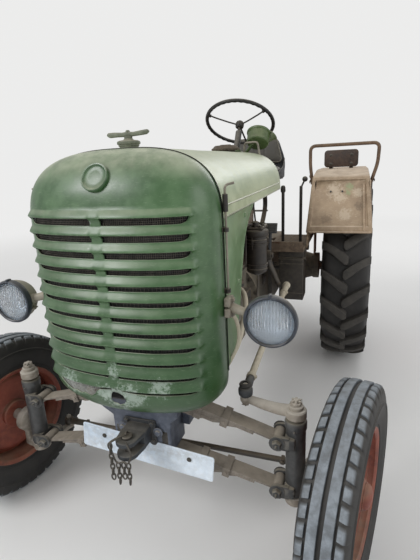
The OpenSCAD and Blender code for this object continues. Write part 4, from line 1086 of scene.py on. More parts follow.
class TRACTOR_OT_bonnet(BuildStep):
    """Bonnet sheet with its bead and rolled edge, the tank under it and the side panels"""
    bl_idname = "tractor.bonnet"
    bl_label = "Bonnet"

    def sheet(self):
        bm = new_bm()
        half = [0, 6, 12, 18, 24, 30, 36, 42, 48, 54, 60, 65, 70, 74, 77.5, 80.5, 83, 85, 86.6,
                88, 89]
        across = [-a for a in reversed(half[1:])] + half
        along = [(-7, 0), (-4, 0)] + [(-4 + 45.3 * k, 0) for k in range(1, 28)]
        along += [(1240, 0), (1258, 0.6), (1270, 2.5), (1281, 6), (1290, 11), (1297, 18),
                  (1301, 25), (1303, 33)]
        table = grid(bm, len(across) + 2, len(along))
        for j, (y, inset) in enumerate(along):
            for i, v in enumerate(table[j]):
                if 0 < i < len(across) + 1:
                    co = bonnet_point(across[i - 1], y, inset)
                else:
                    co = bonnet_point(-90 if i == 0 else 90, y, inset)
                    co.z = BONNET_LOW
                co.z = max(co.z, BONNET_LOW)
                wave = ragged(co, 0.004, 1.6, 4.0)
                co.z += wave.z * smooth01((co.z - 1250) / 80) * smooth01((1300 - y) / 200)
                v.co = co
        tail = [e for e in bm.edges if e.is_boundary and all(abs(v.co.y - 1303) < 1 for v in e.verts)]
        grown = bmesh.ops.extrude_edge_only(bm, edges=tail)["geom"]
        low = new_verts(grown)
        for v in low:
            v.co.x *= 0.55
            v.co.z = BONNET_LOW + (v.co.z - BONNET_LOW) * 0.4
        rim = [g for g in grown if isinstance(g, bmesh.types.BMEdge) and all(v in low for v in g.verts)]
        bmesh.ops.contextual_create(bm, geom=rim)
        weld(bm, 0.3)
        face_out(bm)
        if sum(f.normal.z for f in bm.faces) < 0:
            bmesh.ops.reverse_faces(bm, faces=bm.faces)
        return bm

    def build(self, sizes):
        # The bonnet's pale copy of the green is partly chalky dust and partly painted highlight.
        finish_piece("bonnet_sheet", self.sheet(), "bonnet_pale", "bonnet", smooth=40, thickness=4)
        bm = new_bm()
        for s in (1, -1):
            lower = [bonnet_point(s * 90, y, 2) for y in range(-5, 1275, 32)]
            sweep(bm, [Vector((p.x, p.y, BONNET_LOW + 3)) for p in lower], 3.4, 8)
            rise = ((1246 - SHOULDER_Z) / (BONNET_TOP - SHOULDER_Z)) ** 1.45
            swage = [bonnet_point(s * math.degrees(math.acos(rise)), y, 0.5)
                     for y in range(-5, 1240, 32)]
            sweep(bm, swage, 3.6, 10)
        # The beads and rolled edges are pale: partly chalky dust, partly painted highlight.
        finish_piece("bonnet_rolled_edge", bm, "bonnet_edge")
        bm = new_bm()
        tank = [(-262, 1232), (-262, 1290), (262, 1290), (262, 1232)]
        made = slab(bm, tank, standing(1294, -1), 672, 10, 3)
        for v in made:
            v.co.x *= 1.06 - 0.13 * (v.co.y - 622) / 672
        finish_piece("tank_underside", bm, "dark_green")
        panel_edge = softened([(482, 1205), (375, 1150), (306, 1090), (250, 989), (210, 886),
                               (160, 800), (123, 745), (110, 716)], 5)
        taper = math.atan((BONNET_HW - BONNET_REAR_HW) / (BONNET_REAR_Y - SEAM_Y))
        stand = (Matrix.Translation((BONNET_HW - 12, SEAM_Y + 4, 0)) @ Matrix.Rotation(taper, 4, "Z")
                 @ lengthwise(0, 1))
        bm = new_bm()
        slab(bm, [(0, 716), (0, 1205)] + [(p.x - SEAM_Y, p.y) for p in panel_edge], stand, 4, 1)
        sweep(bm, [stand @ Vector((p.x - SEAM_Y - 2, p.y, 2)) for p in panel_edge], 3.4, 8)
        for y, z in ((20, 1180), (20, 960), (20, 740), (330, 1180), (200, 960)):
            spot_at = stand @ Vector((y, z, 4))
            lathe(bm, [(0, 0), (11, 0), (11, 2), (8, 4.5), (0, 5)], spot_at, (1, 0, 0), 20)
            block(bm, spot_at + Vector((4, -1, -8)), spot_at + Vector((5.6, 1, 8)))
        mirrored(bm)
        finish_piece("side_panel_sheets", bm, "panel_green", "side_panels")


class TRACTOR_OT_bonnet_fittings(BuildStep):
    """Filler caps, grab handle and latch rods"""
    bl_idname = "tractor.bonnet_fittings"
    bl_label = "Caps, handle and latches"

    def build(self, sizes):
        bm = new_bm()
        lathe(bm, [(30, -14), (30, 8), (33, 10), (33, 14), (36, 15), (37, 18), (36, 23), (30, 26),
                   (17, 28), (13, 32), (13, 38), (0, 39)], (0, 52, BONNET_TOP), steps=48)
        wings = [(-66, -7), (-76, 1), (-70, 9), (-46, 9), (-20, 7), (0, 9), (20, 7), (46, 10),
                 (70, 12), (76, 5), (66, -3), (38, -5), (0, -7), (-38, -6)]
        slab(bm, wings, Matrix.Translation((0, 58, BONNET_TOP + 44)) @ spun(90, "X"), 12, 4, 3)
        lathe(bm, [(0, 0), (7, 0), (7, 3), (5, 6), (0, 7)], (0, 52, BONNET_TOP + 51), steps=20)
        finish_piece("coolant_cap", bm, "cap_sage", "filler_caps")
        bm = new_bm()
        neck = (0, 1120, BONNET_TOP)
        lathe(bm, [(50, -20), (50, 4), (54, 6), (54, 10), (74, 11), (76, 14), (76, 20), (73, 24),
                   (69, 26), (62, 34), (56, 37), (20, 38), (0, 38)], neck, steps=64)
        for k in range(24):
            turn = spun(15 * k, "Z", 3)
            rod(bm, Vector(neck) + turn @ Vector((75.5, 0, 12)),
                Vector(neck) + turn @ Vector((75.5, 0, 22)), 2.4, segments=8)
        block(bm, (-30, 1114, BONNET_TOP + 36), (30, 1126, BONNET_TOP + 42), 3)
        finish_piece("fuel_cap", bm, "cap_brown")
        bm = new_bm()
        path = rounded_path([(70, 1257, 1412), (80, 1240, 1474), (158, 1224, 1474),
                             (170, 1220, 1400)], 16)
        sweep(bm, path, 6, 14)
        for foot, up in (((68, 1258, 1411), (0.1, 0.3, 1)), ((171, 1220, 1392), (0.55, 0.25, 1))):
            lathe(bm, [(0, 3), (13, 3), (16, 1), (16, -3), (0, -3)], foot, up, 20)
        finish_piece("grab_handle", bm, "dusty_steel", "bonnet_handle")
        bm = new_bm()
        x = BONNET_HW + 10
        sweep(bm, rounded_path([(x, -16, 984), (x, -16, 1308), (x + 24, -2, 1313)], 12), 3.6, 12)
        ring(bm, (x, -16, 986), (0, 0, 1), 5, 2, 20)
        mirrored(bm)
        finish_piece("latch_rods", bm, "dusty_steel", "bonnet_latches")
        bm = new_bm()
        lathe(bm, [(4, 0), (8, 1), (8, 51), (4, 52)], (x, -16, 1232))
        for z in (994, 1180):
            block(bm, (BONNET_HW - 3, -23, z - 7), (BONNET_HW + 2, -5, z + 7), 1)
            lathe(bm, [(4.3, -6), (8, -6), (8, 6), (4.3, 6)], (x, -16, z), closed=True, steps=24)
            block(bm, (BONNET_HW + 1, -19, z - 5), (x - 5, -13, z + 5), 1)
            bolt(bm, (BONNET_HW + 2, -9, z), (1, 0, 0), 7, 4, False)
        mirrored(bm)
        finish_piece("latch_brackets", bm, "lever_black")
        bm = new_bm()
        arc = [bonnet_point(-89.5 + 179 * k / 72, SEAM_Y - 1, -1.2) for k in range(73)]
        sides = [Vector((BONNET_HW + 1.2, SEAM_Y - 1, z)) for z in range(720, 1240, 40)]
        sweep(bm, [Vector((-p.x, p.y, p.z)) for p in sides] + arc + sides[::-1], 1.7, 8)
        finish_piece("seam_strip", bm, "seam_black")


# Wheels and tyres

def wheel_place(corner):
    """The place of a wheel's middle: local X points outward, local Y and Z lie in the wheel."""
    end, side = corner.split("_")
    s = SIDES[side]
    flip = Matrix.Diagonal((s, 1, 1, 1))
    if end == "rear":
        return Matrix.Translation((s * REAR_X, REAR_Y, REAR_R)) @ flip
    return (Matrix.Translation((s * KINGPIN_X, KINGPIN_Y, FRONT_R))
            @ spun(-PARKED_STEER, "Z") @ flip
            @ Matrix.Translation((STUB_OUT, 0, 0)))


def wheel_ring(bm, outline, steps, closed=True):
    """Spins a wheel's outline of (radius, outward) points about local X."""
    lathe(bm, outline, steps=steps, closed=closed, matrix=lengthwise(0, 1))


def settle(bm, matrix):
    """Moves a whole mesh into place, and turns it the right way out if it was mirrored."""
    shift(bm, matrix)
    if matrix.determinant() < 0:
        bmesh.ops.reverse_faces(bm, faces=bm.faces)


def mark_tread(piece, centre, from_r, to_r):
    """Stores how far out each point of a tyre is, for the dust on its tread."""
    attribute = piece.data.attributes.new("tread", "FLOAT", "POINT")
    centre = PLACE @ Vector(centre)
    axis = PLACE.to_3x3() @ Vector((1, 0, 0))
    if "front" in piece.name:
        axis = spun(-PARKED_STEER, "Z", 3) @ axis
    axis.normalize()
    for v, item in zip(piece.data.vertices, attribute.data):
        away = v.co - centre
        r = (away - axis * away.dot(axis)).length * 1000
        item.value = smooth01((r - from_r) / (to_r - from_r))


class TRACTOR_OT_front_tyres(BuildStep):
    """Front tyres with two middle ribs and notched shoulder blocks"""
    bl_idname = "tractor.front_tyres"
    bl_label = "Front tyres"

    pitches = 46

    def profile(self):
        """The section: sideways, radius, and how deep a shoulder notch cuts there."""
        side = [(50, 204, 0), (54, 207, 0), (57, 213, 0), (58, 222, 0), (60, 232, 0),
                (66, 248, 0), (71, 264, 0), (72.6, 275, 0), (73, 284, 0), (72.4, 292, 0),
                (74, 294, 0), (74, 297, 0), (71, 299, 0), (69.5, 309, 0), (67.5, 318, 2.5),
                (65.5, 327, 6), (62, 336, 9), (57.5, 343, 9), (54, 345.6, 9), (42, 347.4, 8),
                (40.5, 346.8, 8), (39.2, 338.6, 0), (33.6, 338.6, 0), (32.2, 348.4, 0),
                (30.8, 349.4, 0), (20, 349.9, 0), (8.6, 350, 0), (7.4, 349.2, 0),
                (5.8, 339, 0), (0, 338.8, 0)]
        return [(-x, r, d) for x, r, d in side] + [(x, r, d) for x, r, d in reversed(side[:-1])]

    def build(self, sizes):
        for side in SIDES:
            bm = new_bm()
            profile = self.profile()
            steps = (0.0, 0.07, 0.34, 0.61, 0.68, 0.84)
            count = self.pitches * len(steps)
            table = grid(bm, len(profile), count + 1)
            for j in range(count + 1):
                pitch, k = divmod(j % count, len(steps))
                turn = 2 * math.pi * (pitch + steps[k]) / self.pitches
                cut = k >= 4
                for (x, r, depth), v in zip(profile, table[j]):
                    half = 0.5 * 2 * math.pi / self.pitches if x < 0 else 0.0
                    lean = math.radians(1.4) * (abs(x) - 40) / 30 if abs(x) > 40 else 0.0
                    here = turn + half + lean
                    radius = r - (depth if cut else 0)
                    v.co = (x, -radius * math.sin(here), radius * math.cos(here))
            weld(bm, 0.05)
            wheel_ring(bm, [(204, -50), (196, -44), (196, 44), (204, 50)], 96, closed=False)
            face_out(bm)
            for r, x in ((224, 60.4), (287, 73.3)):
                ring(bm, (x, 0, 0), (1, 0, 0), r, 1.1, 96, 6)
                ring(bm, (-x, 0, 0), (1, 0, 0), r, 1.1, 96, 6)
            settle(bm, wheel_place(f"front_{side}"))
            piece = finish_piece(f"front_tyre_rubber_{side}", bm, "front_rubber",
                                 f"front_tyre_{side}", body=f"front_wheel_{side}", smooth=38)
            mark_tread(piece, wheel_place(f"front_{side}").translation, 338.5, 345)


class TRACTOR_OT_rear_tyres(BuildStep):
    """Rear tyres with curved, bevelled lugs"""
    bl_idname = "tractor.rear_tyres"
    bl_label = "Rear tyres"

    outline = [(-14, -6), (-6, -19), (6, -19), (38, 5), (72, 37), (106, 62), (140, 83),
               (140, 125), (104, 108), (60, 82), (24, 58), (-10, 31), (-14, 20)]

    def one_lug(self, bm, crown, floor_r):
        """A lug in flat form, cut across for bending, then wrapped over the tyre's crown."""
        before = set(bm.verts)
        slab(bm, self.outline, Matrix(), 30)
        top = [v for v in bm.verts if v not in before and v.co.z > 15]
        middle = sum((v.co for v in top), Vector()) / len(top)
        low = [v for v in bm.verts if v not in before and v.co.z < 15]
        for v in low:
            v.co.x += math.copysign(3.5, v.co.x - middle.x) * (v.co.x < 138)
            v.co.y += math.copysign(6, v.co.y - middle.y - (v.co.x - middle.x) * 0.62)
        made = since(bm, before)
        rim = [e for e in edges_of(made) if all(v.co.z > 15 for v in e.verts)]
        bmesh.ops.bevel(bm, geom=rim, offset=3.2, segments=2, profile=0.5, affect="EDGES",
                        material=-1, clamp_overlap=True)
        for x in (20, 52, 84, 112, 128):
            made = since(bm, before)
            bmesh.ops.bisect_plane(bm, geom=made + edges_of(made) + faces_of(made),
                                   plane_co=(x, 0, 0), plane_no=(1, 0, 0), dist=0.01)
        made = since(bm, before)
        for v in made:
            x, y, h = v.co
            base = floor_r - 3 - max(0.0, (x - 62)) ** 2 * 0.0088
            face = crown - max(0.0, (x - 60)) ** 2 * 0.0032
            r = base + (face - base) * min(1.0, h / 30)
            out = x if x < 112 else 112 + (x - 112) * (1 - 0.0009 * (x - 112))
            turn = y / crown
            v.co = (out, r * math.sin(turn), r * math.cos(turn))
        return made

    def build(self, sizes):
        floor_r = REAR_R - LUG_H
        half = REAR_W / 2
        for side in SIDES:
            bm = new_bm()
            one = self.one_lug(bm, REAR_R - 0.4, floor_r)
            geom = one + edges_of(one) + faces_of(one)
            turned_copies(bm, geom, LUG_COUNT, (0, 0, 0), (1, 0, 0))
            copy = bmesh.ops.duplicate(bm, geom=bm.verts[:] + bm.edges[:] + bm.faces[:])["geom"]
            other = new_verts(copy)
            across = Matrix.Rotation(math.pi / LUG_COUNT, 4, "X") @ Matrix.Diagonal((-1, 1, 1, 1))
            shift(bm, across, other)
            bmesh.ops.reverse_faces(bm, faces=[g for g in copy
                                               if isinstance(g, bmesh.types.BMFace)])
            body = [(356, -98), (359, -103), (374, -103.5), (388, -109), (396, -118),
                    (412, -126), (430, -133), (450, 4 - half), (476, 1.4 - half),
                    (502, 2 - half), (522, -137), (540, -134), (556, -129.5), (570, -123),
                    (580, -115), (586, -100), (589, -80), (floor_r, -60), (floor_r, -20)]
            body += [(r, -x) for r, x in reversed(body)]
            wheel_ring(bm, body, 132)
            for r, x in ((392, 114.5), (404, 123.2), (520, 138.2)):
                ring(bm, (x, 0, 0), (1, 0, 0), r, 1.6, 96, 6)
                ring(bm, (-x, 0, 0), (1, 0, 0), r, 1.6, 96, 6)
            face_out(bm)
            settle(bm, wheel_place(f"rear_{side}"))
            piece = finish_piece(f"rear_tyre_rubber_{side}", bm, "rear_rubber", f"rear_tyre_{side}",
                                 body=f"rear_wheel_{side}", smooth=34)
            mark_tread(piece, wheel_place(f"rear_{side}").translation, 592, 604)


class TRACTOR_OT_wheels(BuildStep):
    """Disc wheels with beads, nuts, hub caps, weights' holes and valve stems"""
    bl_idname = "tractor.wheels"
    bl_label = "Wheels"

    def front(self, bm):
        rim = FRONT_RIM_R
        wheel_ring(bm, [(22, -30), (56, -30), (60, -26), (60, -9), (66, -6), (120, -5), (150, -6),
                   (160, -4), (168, 4), (rim - 30, 20), (rim - 24, 23), (rim - 14, 25),
                   (rim - 12, 28), (rim - 12, 31), (rim - 22, 32), (rim - 34, 29), (164, 12),
                   (156, 5), (146, 2), (74, 3), (66, 8), (60, 32), (54, 42), (40, 54),
                   (22, 54)], 96)
        wheel_ring(bm, [(rim - 12, -52), (rim - 7, -57), (rim + 4, -60.5), (rim + 7, -58),
                   (rim + 5, -54), (rim - 0.5, -51), (rim - 0.5, -40), (rim - 10, -34),
                   (rim - 10, 34), (rim - 0.5, 40), (rim - 0.5, 51), (rim + 5, 54),
                   (rim + 7, 58), (rim + 4, 60.5), (rim - 7, 57), (rim - 12, 52),
                   (rim - 12, 40), (rim - 16, 34), (rim - 16, -34), (rim - 12, -40)], 96)
        for r, x in ((120, 2.6), (84, 2.8)):
            ring(bm, (x, 0, 0), (1, 0, 0), r, 1.6, 72, 6)
        for k in range(5):
            spoke = spun(72 * k + 36, "X", 3) @ Vector((4, 0, 84))
            bolt(bm, spoke, (1, 0, 0), 19, 14)
        rod(bm, (26, 0, rim - 36), (46, 0, rim - 44), 3.4, segments=12, bevel=0.6)
        wheel_ring(bm, [(0, 76), (14, 76), (20, 74), (34, 68), (39, 62), (41, 56), (43, 55),
                   (43, 50), (0, 50)], 48, False)

    def rear(self, bm):
        rim = REAR_RIM_R
        wheel_ring(bm, [(34, -60), (106, -60), (110, -56), (110, -42), (150, -34), (rim - 62, -34),
                   (rim - 54, -31), (rim - 30, -7), (rim - 24, -4), (rim - 8, -4), (rim - 7, 2),
                   (rim - 8, 8), (rim - 32, 8), (rim - 38, 5), (rim - 62, -19), (rim - 70, -22),
                   (150, -22), (104, -20), (96, -15), (86, 6), (80, 14), (60, 30), (34, 30)], 120)
        wheel_ring(bm, [(rim - 16, -94), (rim - 4, -104), (rim + 8, -114), (rim + 13, -116),
                   (rim + 15, -112), (rim + 12, -108), (rim - 0.5, -104), (rim - 0.5, -86),
                   (rim - 8, -76), (rim - 8, 76), (rim - 0.5, 86), (rim - 0.5, 104),
                   (rim + 12, 108), (rim + 15, 112), (rim + 13, 116), (rim + 8, 114),
                   (rim - 4, 104), (rim - 16, 94), (rim - 16, 84), (rim - 13, 74),
                   (rim - 13, -74), (rim - 16, -84)], 120)
        for k in range(8):
            turn = spun(45 * k, "X", 3)
            bolt(bm, turn @ Vector((-21, 0, 128)), (1, 0, 0), 24, 20)
            rod(bm, turn @ Vector((-21, 0, 128)), turn @ Vector((6, 0, 128)), 7, segments=12)
            clamp = turn @ Vector((6, 26, rim - 21))
            bolt(bm, clamp, (1, 0, 0), 19, 12)
        for k in range(4):
            turn = spun(90 * k + 22, "X", 3)
            lathe(bm, [(17, -3), (20, -3), (20, 1.5), (17, 2.5)], turn @ Vector((-21, 0, 218)),
                  (1, 0, 0), 28, closed=True)
        rod(bm, (-2, 0, rim - 26), (26, 0, rim - 34), 4, segments=12, bevel=0.8)
        wheel_ring(bm, [(0, 61), (20, 61), (29, 59), (52, 50), (59, 46), (62, 38), (66, 36),
                   (66, 28), (0, 28)], 56, False)
        for k in range(6):
            turn = spun(60 * k, "X", 3)
            bolt(bm, turn @ Vector((49, 0, 47)), (1, 0, 0.3), 10, 6, False)

    def build(self, sizes):
        for end, shape in (("front", self.front), ("rear", self.rear)):
            for side in SIDES:
                bm = new_bm()
                shape(bm)
                settle(bm, wheel_place(f"{end}_{side}"))
                finish_piece(f"{end}_wheel_disc_{side}", bm, "wheel_red", f"{end}_wheel_{side}",
                             body=f"{end}_wheel_{side}", smooth=34)


# Fenders and seat parts on them

def widened(points, by):
    """An open outline of (y, z) points, moved outward by a distance."""
    pts = [Vector(p) for p in points]
    out = []
    for i, p in enumerate(pts):
        into = (p - pts[i - 1]).normalized() if i else None
        away = (pts[i + 1] - p).normalized() if i + 1 < len(pts) else None
        into, away = into or away, away or into
        n1, n2 = Vector((-into.y, into.x)), Vector((-away.y, away.x))
        n = (n1 + n2).normalized()
        out.append(p + n * (by / max(0.5, n.dot(n1))))
    return out


class TRACTOR_OT_fenders(BuildStep):
    """Sheet fenders with their raised border, ribs, inner walls, rails and boards"""
    bl_idname = "tractor.fenders"
    bl_label = "Fenders"

    low, top = 341, 665
    side = [(-582, 341), (-582, 353), (-512, 633), (-290, 665), (200, 665), (460, 563),
            (590, 343), (590, 341)]

    def spread(self, x_share, z):
        """Sideways place: 0 at the inner edge, 1 at the outer, both closing in upward."""
        narrow = (z - self.low) / (self.top - self.low)
        inner, outer = 430 + 26 * narrow, 792 - 30 * narrow
        return inner + (outer - inner) * x_share

    def shell(self, bm):
        edge = widened(self.side, 20)
        edge[0].y = edge[-1].y = self.low
        made = slab(bm, [tuple(p) for p in edge], lengthwise(0, 1), 1)
        for v in made:
            v.co.x = self.spread(v.co.x, v.co.z)
        lip = [e for e in bm.edges if any(v.co.z > self.low + 1 for v in e.verts)
               and e.calc_face_angle(0) > math.radians(8)]
        bmesh.ops.bevel(bm, geom=lip, offset=19, segments=4, profile=0.5, affect="EDGES",
                        material=-1, clamp_overlap=True)
        front = max((f for f in bm.faces if f.normal.y < -0.9), key=lambda f: f.calc_area())
        top = max((f for f in bm.faces if f.normal.z > 0.99), key=lambda f: f.calc_area())
        for face, depth in ((front, 7.0), (top, 4.0)):
            bmesh.ops.inset_region(bm, faces=[face], thickness=12, depth=0, use_even_offset=True)
            bmesh.ops.inset_region(bm, faces=[face], thickness=7, depth=-depth,
                                   use_even_offset=True)
        for point, normal in (((0, -540, 0), (0, 1, 0)), ((0, 570, 0), (0, 1, 0)),
                              ((0, 0, 624), (0, 0, 1))):
            bmesh.ops.bisect_plane(bm, geom=bm.verts[:] + bm.edges[:] + bm.faces[:],
                                   plane_co=point, plane_no=normal, dist=0.01)
        gone = []
        for f in bm.faces:
            c = f.calc_center_median()
            if f.normal.z < -0.9:
                gone.append(f)
            elif f.normal.x > 0.5 and -540 < c.y < 570 and c.z < 624:
                gone.append(f)
        bmesh.ops.delete(bm, geom=gone, context="FACES")

    def both_sides(self, name, bm, *look, **more):
        """Moves a mesh made round the rear axle's middle into place and adds the other side."""
        shift(bm, Matrix.Translation((0, REAR_Y, REAR_R)))
        mirrored(bm)
        finish_piece(name, bm, *look, **more)

    def build(self, sizes):
        bm = new_bm()
        self.shell(bm)
        self.both_sides("fender_shells", bm, "primer", "fenders", smooth=40, thickness=4)
        bm = new_bm()
        block(bm, (431, -560, 245), (435, 500, 348), 1)
        block(bm, (431, -60, 92), (441, 60, 343), 2)
        block(bm, (425, -40, 240), (431, 40, 330), 2)
        bolts(bm, (441,), (-30, 30), (262, 310), (1, 0, 0), 17, 9)
        bolts(bm, (435,), range(-520, 600, 160), (300,), (1, 0, 0), 12, 5)
        # Rolled lip of the open flank, a rib up the front near its outer edge.
        lip = rounded_path([(788, -541, 348), (766, -541, 624), (766, 322, 624),
                            (771, 466, 566), (790, 588, 352)], 20)
        sweep(bm, lip, 4, 8)
        sweep(bm, [(748, -600, 352), (741, -568, 480), (734, -536, 606)], 9, 14, 0.6)
        sweep(bm, rounded_path([(440, -560, 344), (438, -604, 345), (782, -606, 345),
                                (788, -552, 345)], 18), 5.5, 8)
        for x in (560, 622):
            ring(bm, (x, -548, 568), (0, -1, 0.25), 6, 1.4, 20, 8)
        bolts(bm, (763,), (-200, 0, 180), (638,), (1, 0, 0), 11, 4)
        self.both_sides("fender_walls", bm, "primer")
        bm = new_bm()
        for x in (560, 622):
            rod(bm, (x, -549, 568), (x, -551, 568.5), 5.4, segments=20, bevel=0.4)
        self.both_sides("fender_holes", bm, "black_plastic")
        bm = new_bm()
        rail = rounded_path([(440, -350, 600), (425, -350, 713), (424, -350, 825),
                             (812, -350, 825), (808, -350, 713), (776, -350, 600)], 34, 8)
        sweep(bm, rail, 10, 16)
        for x, lean in ((432.5, -0.13), (786, 0.28)):
            block(bm, (x - 5, -364, 600), (x + 5, -336, 668), 2,
                  turn=Matrix.Rotation(lean, 4, "Y"))
            for z in (616, 648):
                bolt(bm, (x + (6 if x > 600 else -6), -350, z), (1 if x > 600 else -1, 0, 0), 13, 6)
        self.both_sides("fender_rails", bm, "rail_rust", "fender_seats")
        bm = new_bm()
        rounded_slab(bm, [(487, 691), (703, 691), (703, 801), (487, 801)], 22, 5, 22)
        round_edges(bm, bm.verts[:], 4, 2, 60)
        face_out(bm)
        shift(bm, standing(-50, 1))
        self.both_sides("backrest_boards", bm, "board_brown")
        bm = new_bm()
        for x in (530, 660):
            block(bm, (x - 12, -28, 683), (x + 12, -21, 783), 1.5)
            block(bm, (x - 12, -28, 683), (x + 12, 24, 689), 1.5)
            for z in (712, 768):
                bolt(bm, (x, -21, z), (0, 1, 0), 13, 6)
                lathe(bm, [(0, 4), (6, 3), (10, 0), (0, 0)], (x, -50, z), (0, -1, 0), 20)
        self.both_sides("board_stays", bm, "oily_grey")


# Front axle, steering and towing gear

def knuckle_place(s):
    return (Matrix.Translation((s * KINGPIN_X, KINGPIN_Y, 0))
            @ spun(-PARKED_STEER, "Z") @ Matrix.Diagonal((s, 1, 1, 1)))


def grease_nipple(bm, origin, direction):
    lathe(bm, [(0, 0), (4.5, 0), (4.5, 3), (2.5, 4), (2.5, 8), (3.6, 9), (3.6, 11), (0, 12.5)],
          origin, direction, 12)


def boot(bm, low, high, radius):
    """A bellows boot of a ball joint."""
    low, high = Vector(low), Vector(high)
    length = (high - low).length
    lathe(bm, [(radius * 0.5, 0), (radius, length * 0.12), (radius * 1.02, length * 0.3),
               (radius * 0.82, length * 0.42), (radius * 0.92, length * 0.56),
               (radius * 0.66, length * 0.72), (radius * 0.74, length * 0.84),
               (radius * 0.5, length)], low, high - low, 28)


class TRACTOR_OT_springs(BuildStep):
    """Both transverse leaf springs, leaf by leaf, with eyes and clips"""
    bl_idname = "tractor.springs"
    bl_label = "Leaf springs"

    def line(self, x, mid, eye):
        reach = max(0.0, (abs(x) - 100) / (SPRING_EYE_X - 100))
        return mid + (eye - mid) * reach ** 1.12

    def leaf(self, bm, length, mid, eye, down):
        """One leaf as a strip with rounded edges and tapered ends."""
        before = set(bm.verts)
        made = bmesh.ops.create_cube(bm, size=1, matrix=Matrix.Translation((0, KINGPIN_Y, 0))
                                     @ Matrix.Diagonal((length * 2, 59, 8.3, 1)))["verts"]
        round_edges(bm, made, 1.4, 2)
        xs = [length * k / 12 for k in range(-11, 12)] + [length - 3, 3 - length]
        for x in xs:
            made = since(bm, before)
            bmesh.ops.bisect_plane(bm, geom=made + edges_of(made) + faces_of(made),
                                   plane_co=(x, 0, 0), plane_no=(1, 0, 0), dist=0.01)
        for v in bm.verts:
            if v in before:
                continue
            tip = smooth01((abs(v.co.x) - length + 12) / 12) if length < 400 else 0
            v.co.y = KINGPIN_Y + (v.co.y - KINGPIN_Y) * (1 - 0.3 * tip)
            v.co.z = (v.co.z - 4.5) * (1 - 0.3 * tip) + self.line(v.co.x, mid, eye) - down

    def build(self, sizes):
        bm = new_bm()
        for mid, eye in SPRINGS:
            for k, share in enumerate((1.0, 0.78, 0.62, 0.46, 0.3)):
                length = 470 if k == 0 else 110 + 372 * share
                self.leaf(bm, length, mid, eye, 9 * k)
            for s in (1, -1):
                lathe(bm, [(10.5, -29.5), (18, -29.5), (19, -28), (19, 28), (18, 29.5),
                           (10.5, 29.5)], (s * SPRING_EYE_X, KINGPIN_Y, eye), (0, 1, 0), 32, closed=True)
                # Clip round the leaves.
                for x, n in ((300, 3), (205, 4)):
                    z = self.line(x, mid, eye)
                    tilt = Matrix.Rotation(s * math.atan((mid - eye) / 372), 4, "Y")
                    middle = Vector((s * x, KINGPIN_Y, z - 4.5 * n))
                    for low, high in (((-13, -36, 4.5 * n - 1), (13, 36, 4.5 * n + 4)),
                                      ((-13, -36, -4.5 * n - 5), (13, 36, -4.5 * n)),
                                      ((-13, -36, -4.5 * n), (13, -31, 4.5 * n)),
                                      ((-13, 31, -4.5 * n), (13, 36, 4.5 * n))):
                        made = block(bm, low, high, 1.2)
                        shift(bm, Matrix.Translation(middle) @ tilt, made)
                    bolt(bm, (s * x, -21, z - 4.5 * n), (0, -1, 0), 11, 5)
        finish_piece("leaf_springs", bm, "spring_steel", "front_springs")


class TRACTOR_OT_bolster(BuildStep):
    """Cast bolster with its spring plates and clamp bolts"""
    bl_idname = "tractor.bolster"
    bl_label = "Bolster"

    def build(self, sizes):
        bm = new_bm()
        front = [(-110, 372), (110, 372), (114, 505), (150, 540), (152, 583), (-152, 583),
                 (-150, 540), (-114, 505)]
        slab(bm, front, standing(-18, -1), 43.5, 5, 3)
        for v in bm.verts:
            v.co.y += 10 * smooth01((v.co.y + 18) / -30) * (1 - smooth01((v.co.z - 500) / 42))
        block(bm, (-110, -30, 372), (110, 80, 540), 5)
        for s in (1, -1):
            block(bm, (s * 125 - 15, 60, 430), (s * 125 + 15, 268, 545), 4)
            bolts(bm, (s * 140,), (120, 200), (488,), (s, 0, 0), 19, 10)
        for z, up in ((588.4, 1), (326, -1)):
            block(bm, (-92, -32, z - (0 if up > 0 else 14)), (92, 64, z + (12 if up > 0 else 0)), 4)
            base = z + (12 if up > 0 else -14)
            bolts(bm, (-75, 75), (-23, 54), (base,), (0, 0, up), 19, 12)
            for x, y in itertools.product((-75, 75), (-23, 54)):
                rod(bm, (x, y, base), (x, y, base + up * 18), 6.5, segments=14, bevel=0.8)
        for x, y in itertools.product((-75, 75), (-23, 54)):
            rod(bm, (x, y, 326), (x, y, 372), 6.5, segments=14)
        bolts(bm, (-70, 70), (-61,), (470,), (0, -1, 0), 19, 9)
        finish_piece("bolster_casting", bm, "bolster_blue", "front_bolster")


class TRACTOR_OT_kingpins(BuildStep):
    """Kingpin sleeves with their ears, spring bolts and nipples"""
    bl_idname = "tractor.kingpins"
    bl_label = "Kingpin sleeves"

    def build(self, sizes):
        bm = new_bm()
        x = KINGPIN_X
        lathe(bm, [(17, 271), (31, 271), (35, 273), (35, 284), (33, 288), (33, 320), (33, 470),
                   (33, 520), (34, 524), (36, 530), (36, 552), (33, 557), (17, 558)],
              (x, KINGPIN_Y, 0), steps=56, closed=True)
        for _, eye in SPRINGS:
            for s in (1, -1):
                ear = [polar(24, 90 + 15 * k) for k in range(13)] + [(40, -24), (40, 24)]
                slab(bm, ear, standing(KINGPIN_Y + s * 38 - 6.5, 1, SPRING_EYE_X, eye), 13, 2.5)
                bolt(bm, (SPRING_EYE_X, KINGPIN_Y + s * 45, eye), (0, s, 0), 28, 16)
            block(bm, (504, -30, eye - 21), (540, 60, eye + 21), 6)
            rod(bm, (SPRING_EYE_X, -45, eye), (SPRING_EYE_X, 75, eye), 9.5, segments=20)
            grease_nipple(bm, (SPRING_EYE_X, -46, eye), (0, -1, 0))
        for z in (300, 530):
            grease_nipple(bm, (x, KINGPIN_Y - 33, z), (0, -1, 0))
        mirrored(bm)
        finish_piece("kingpin_sleeves", bm, "tube_grey", "kingpin_carriers")


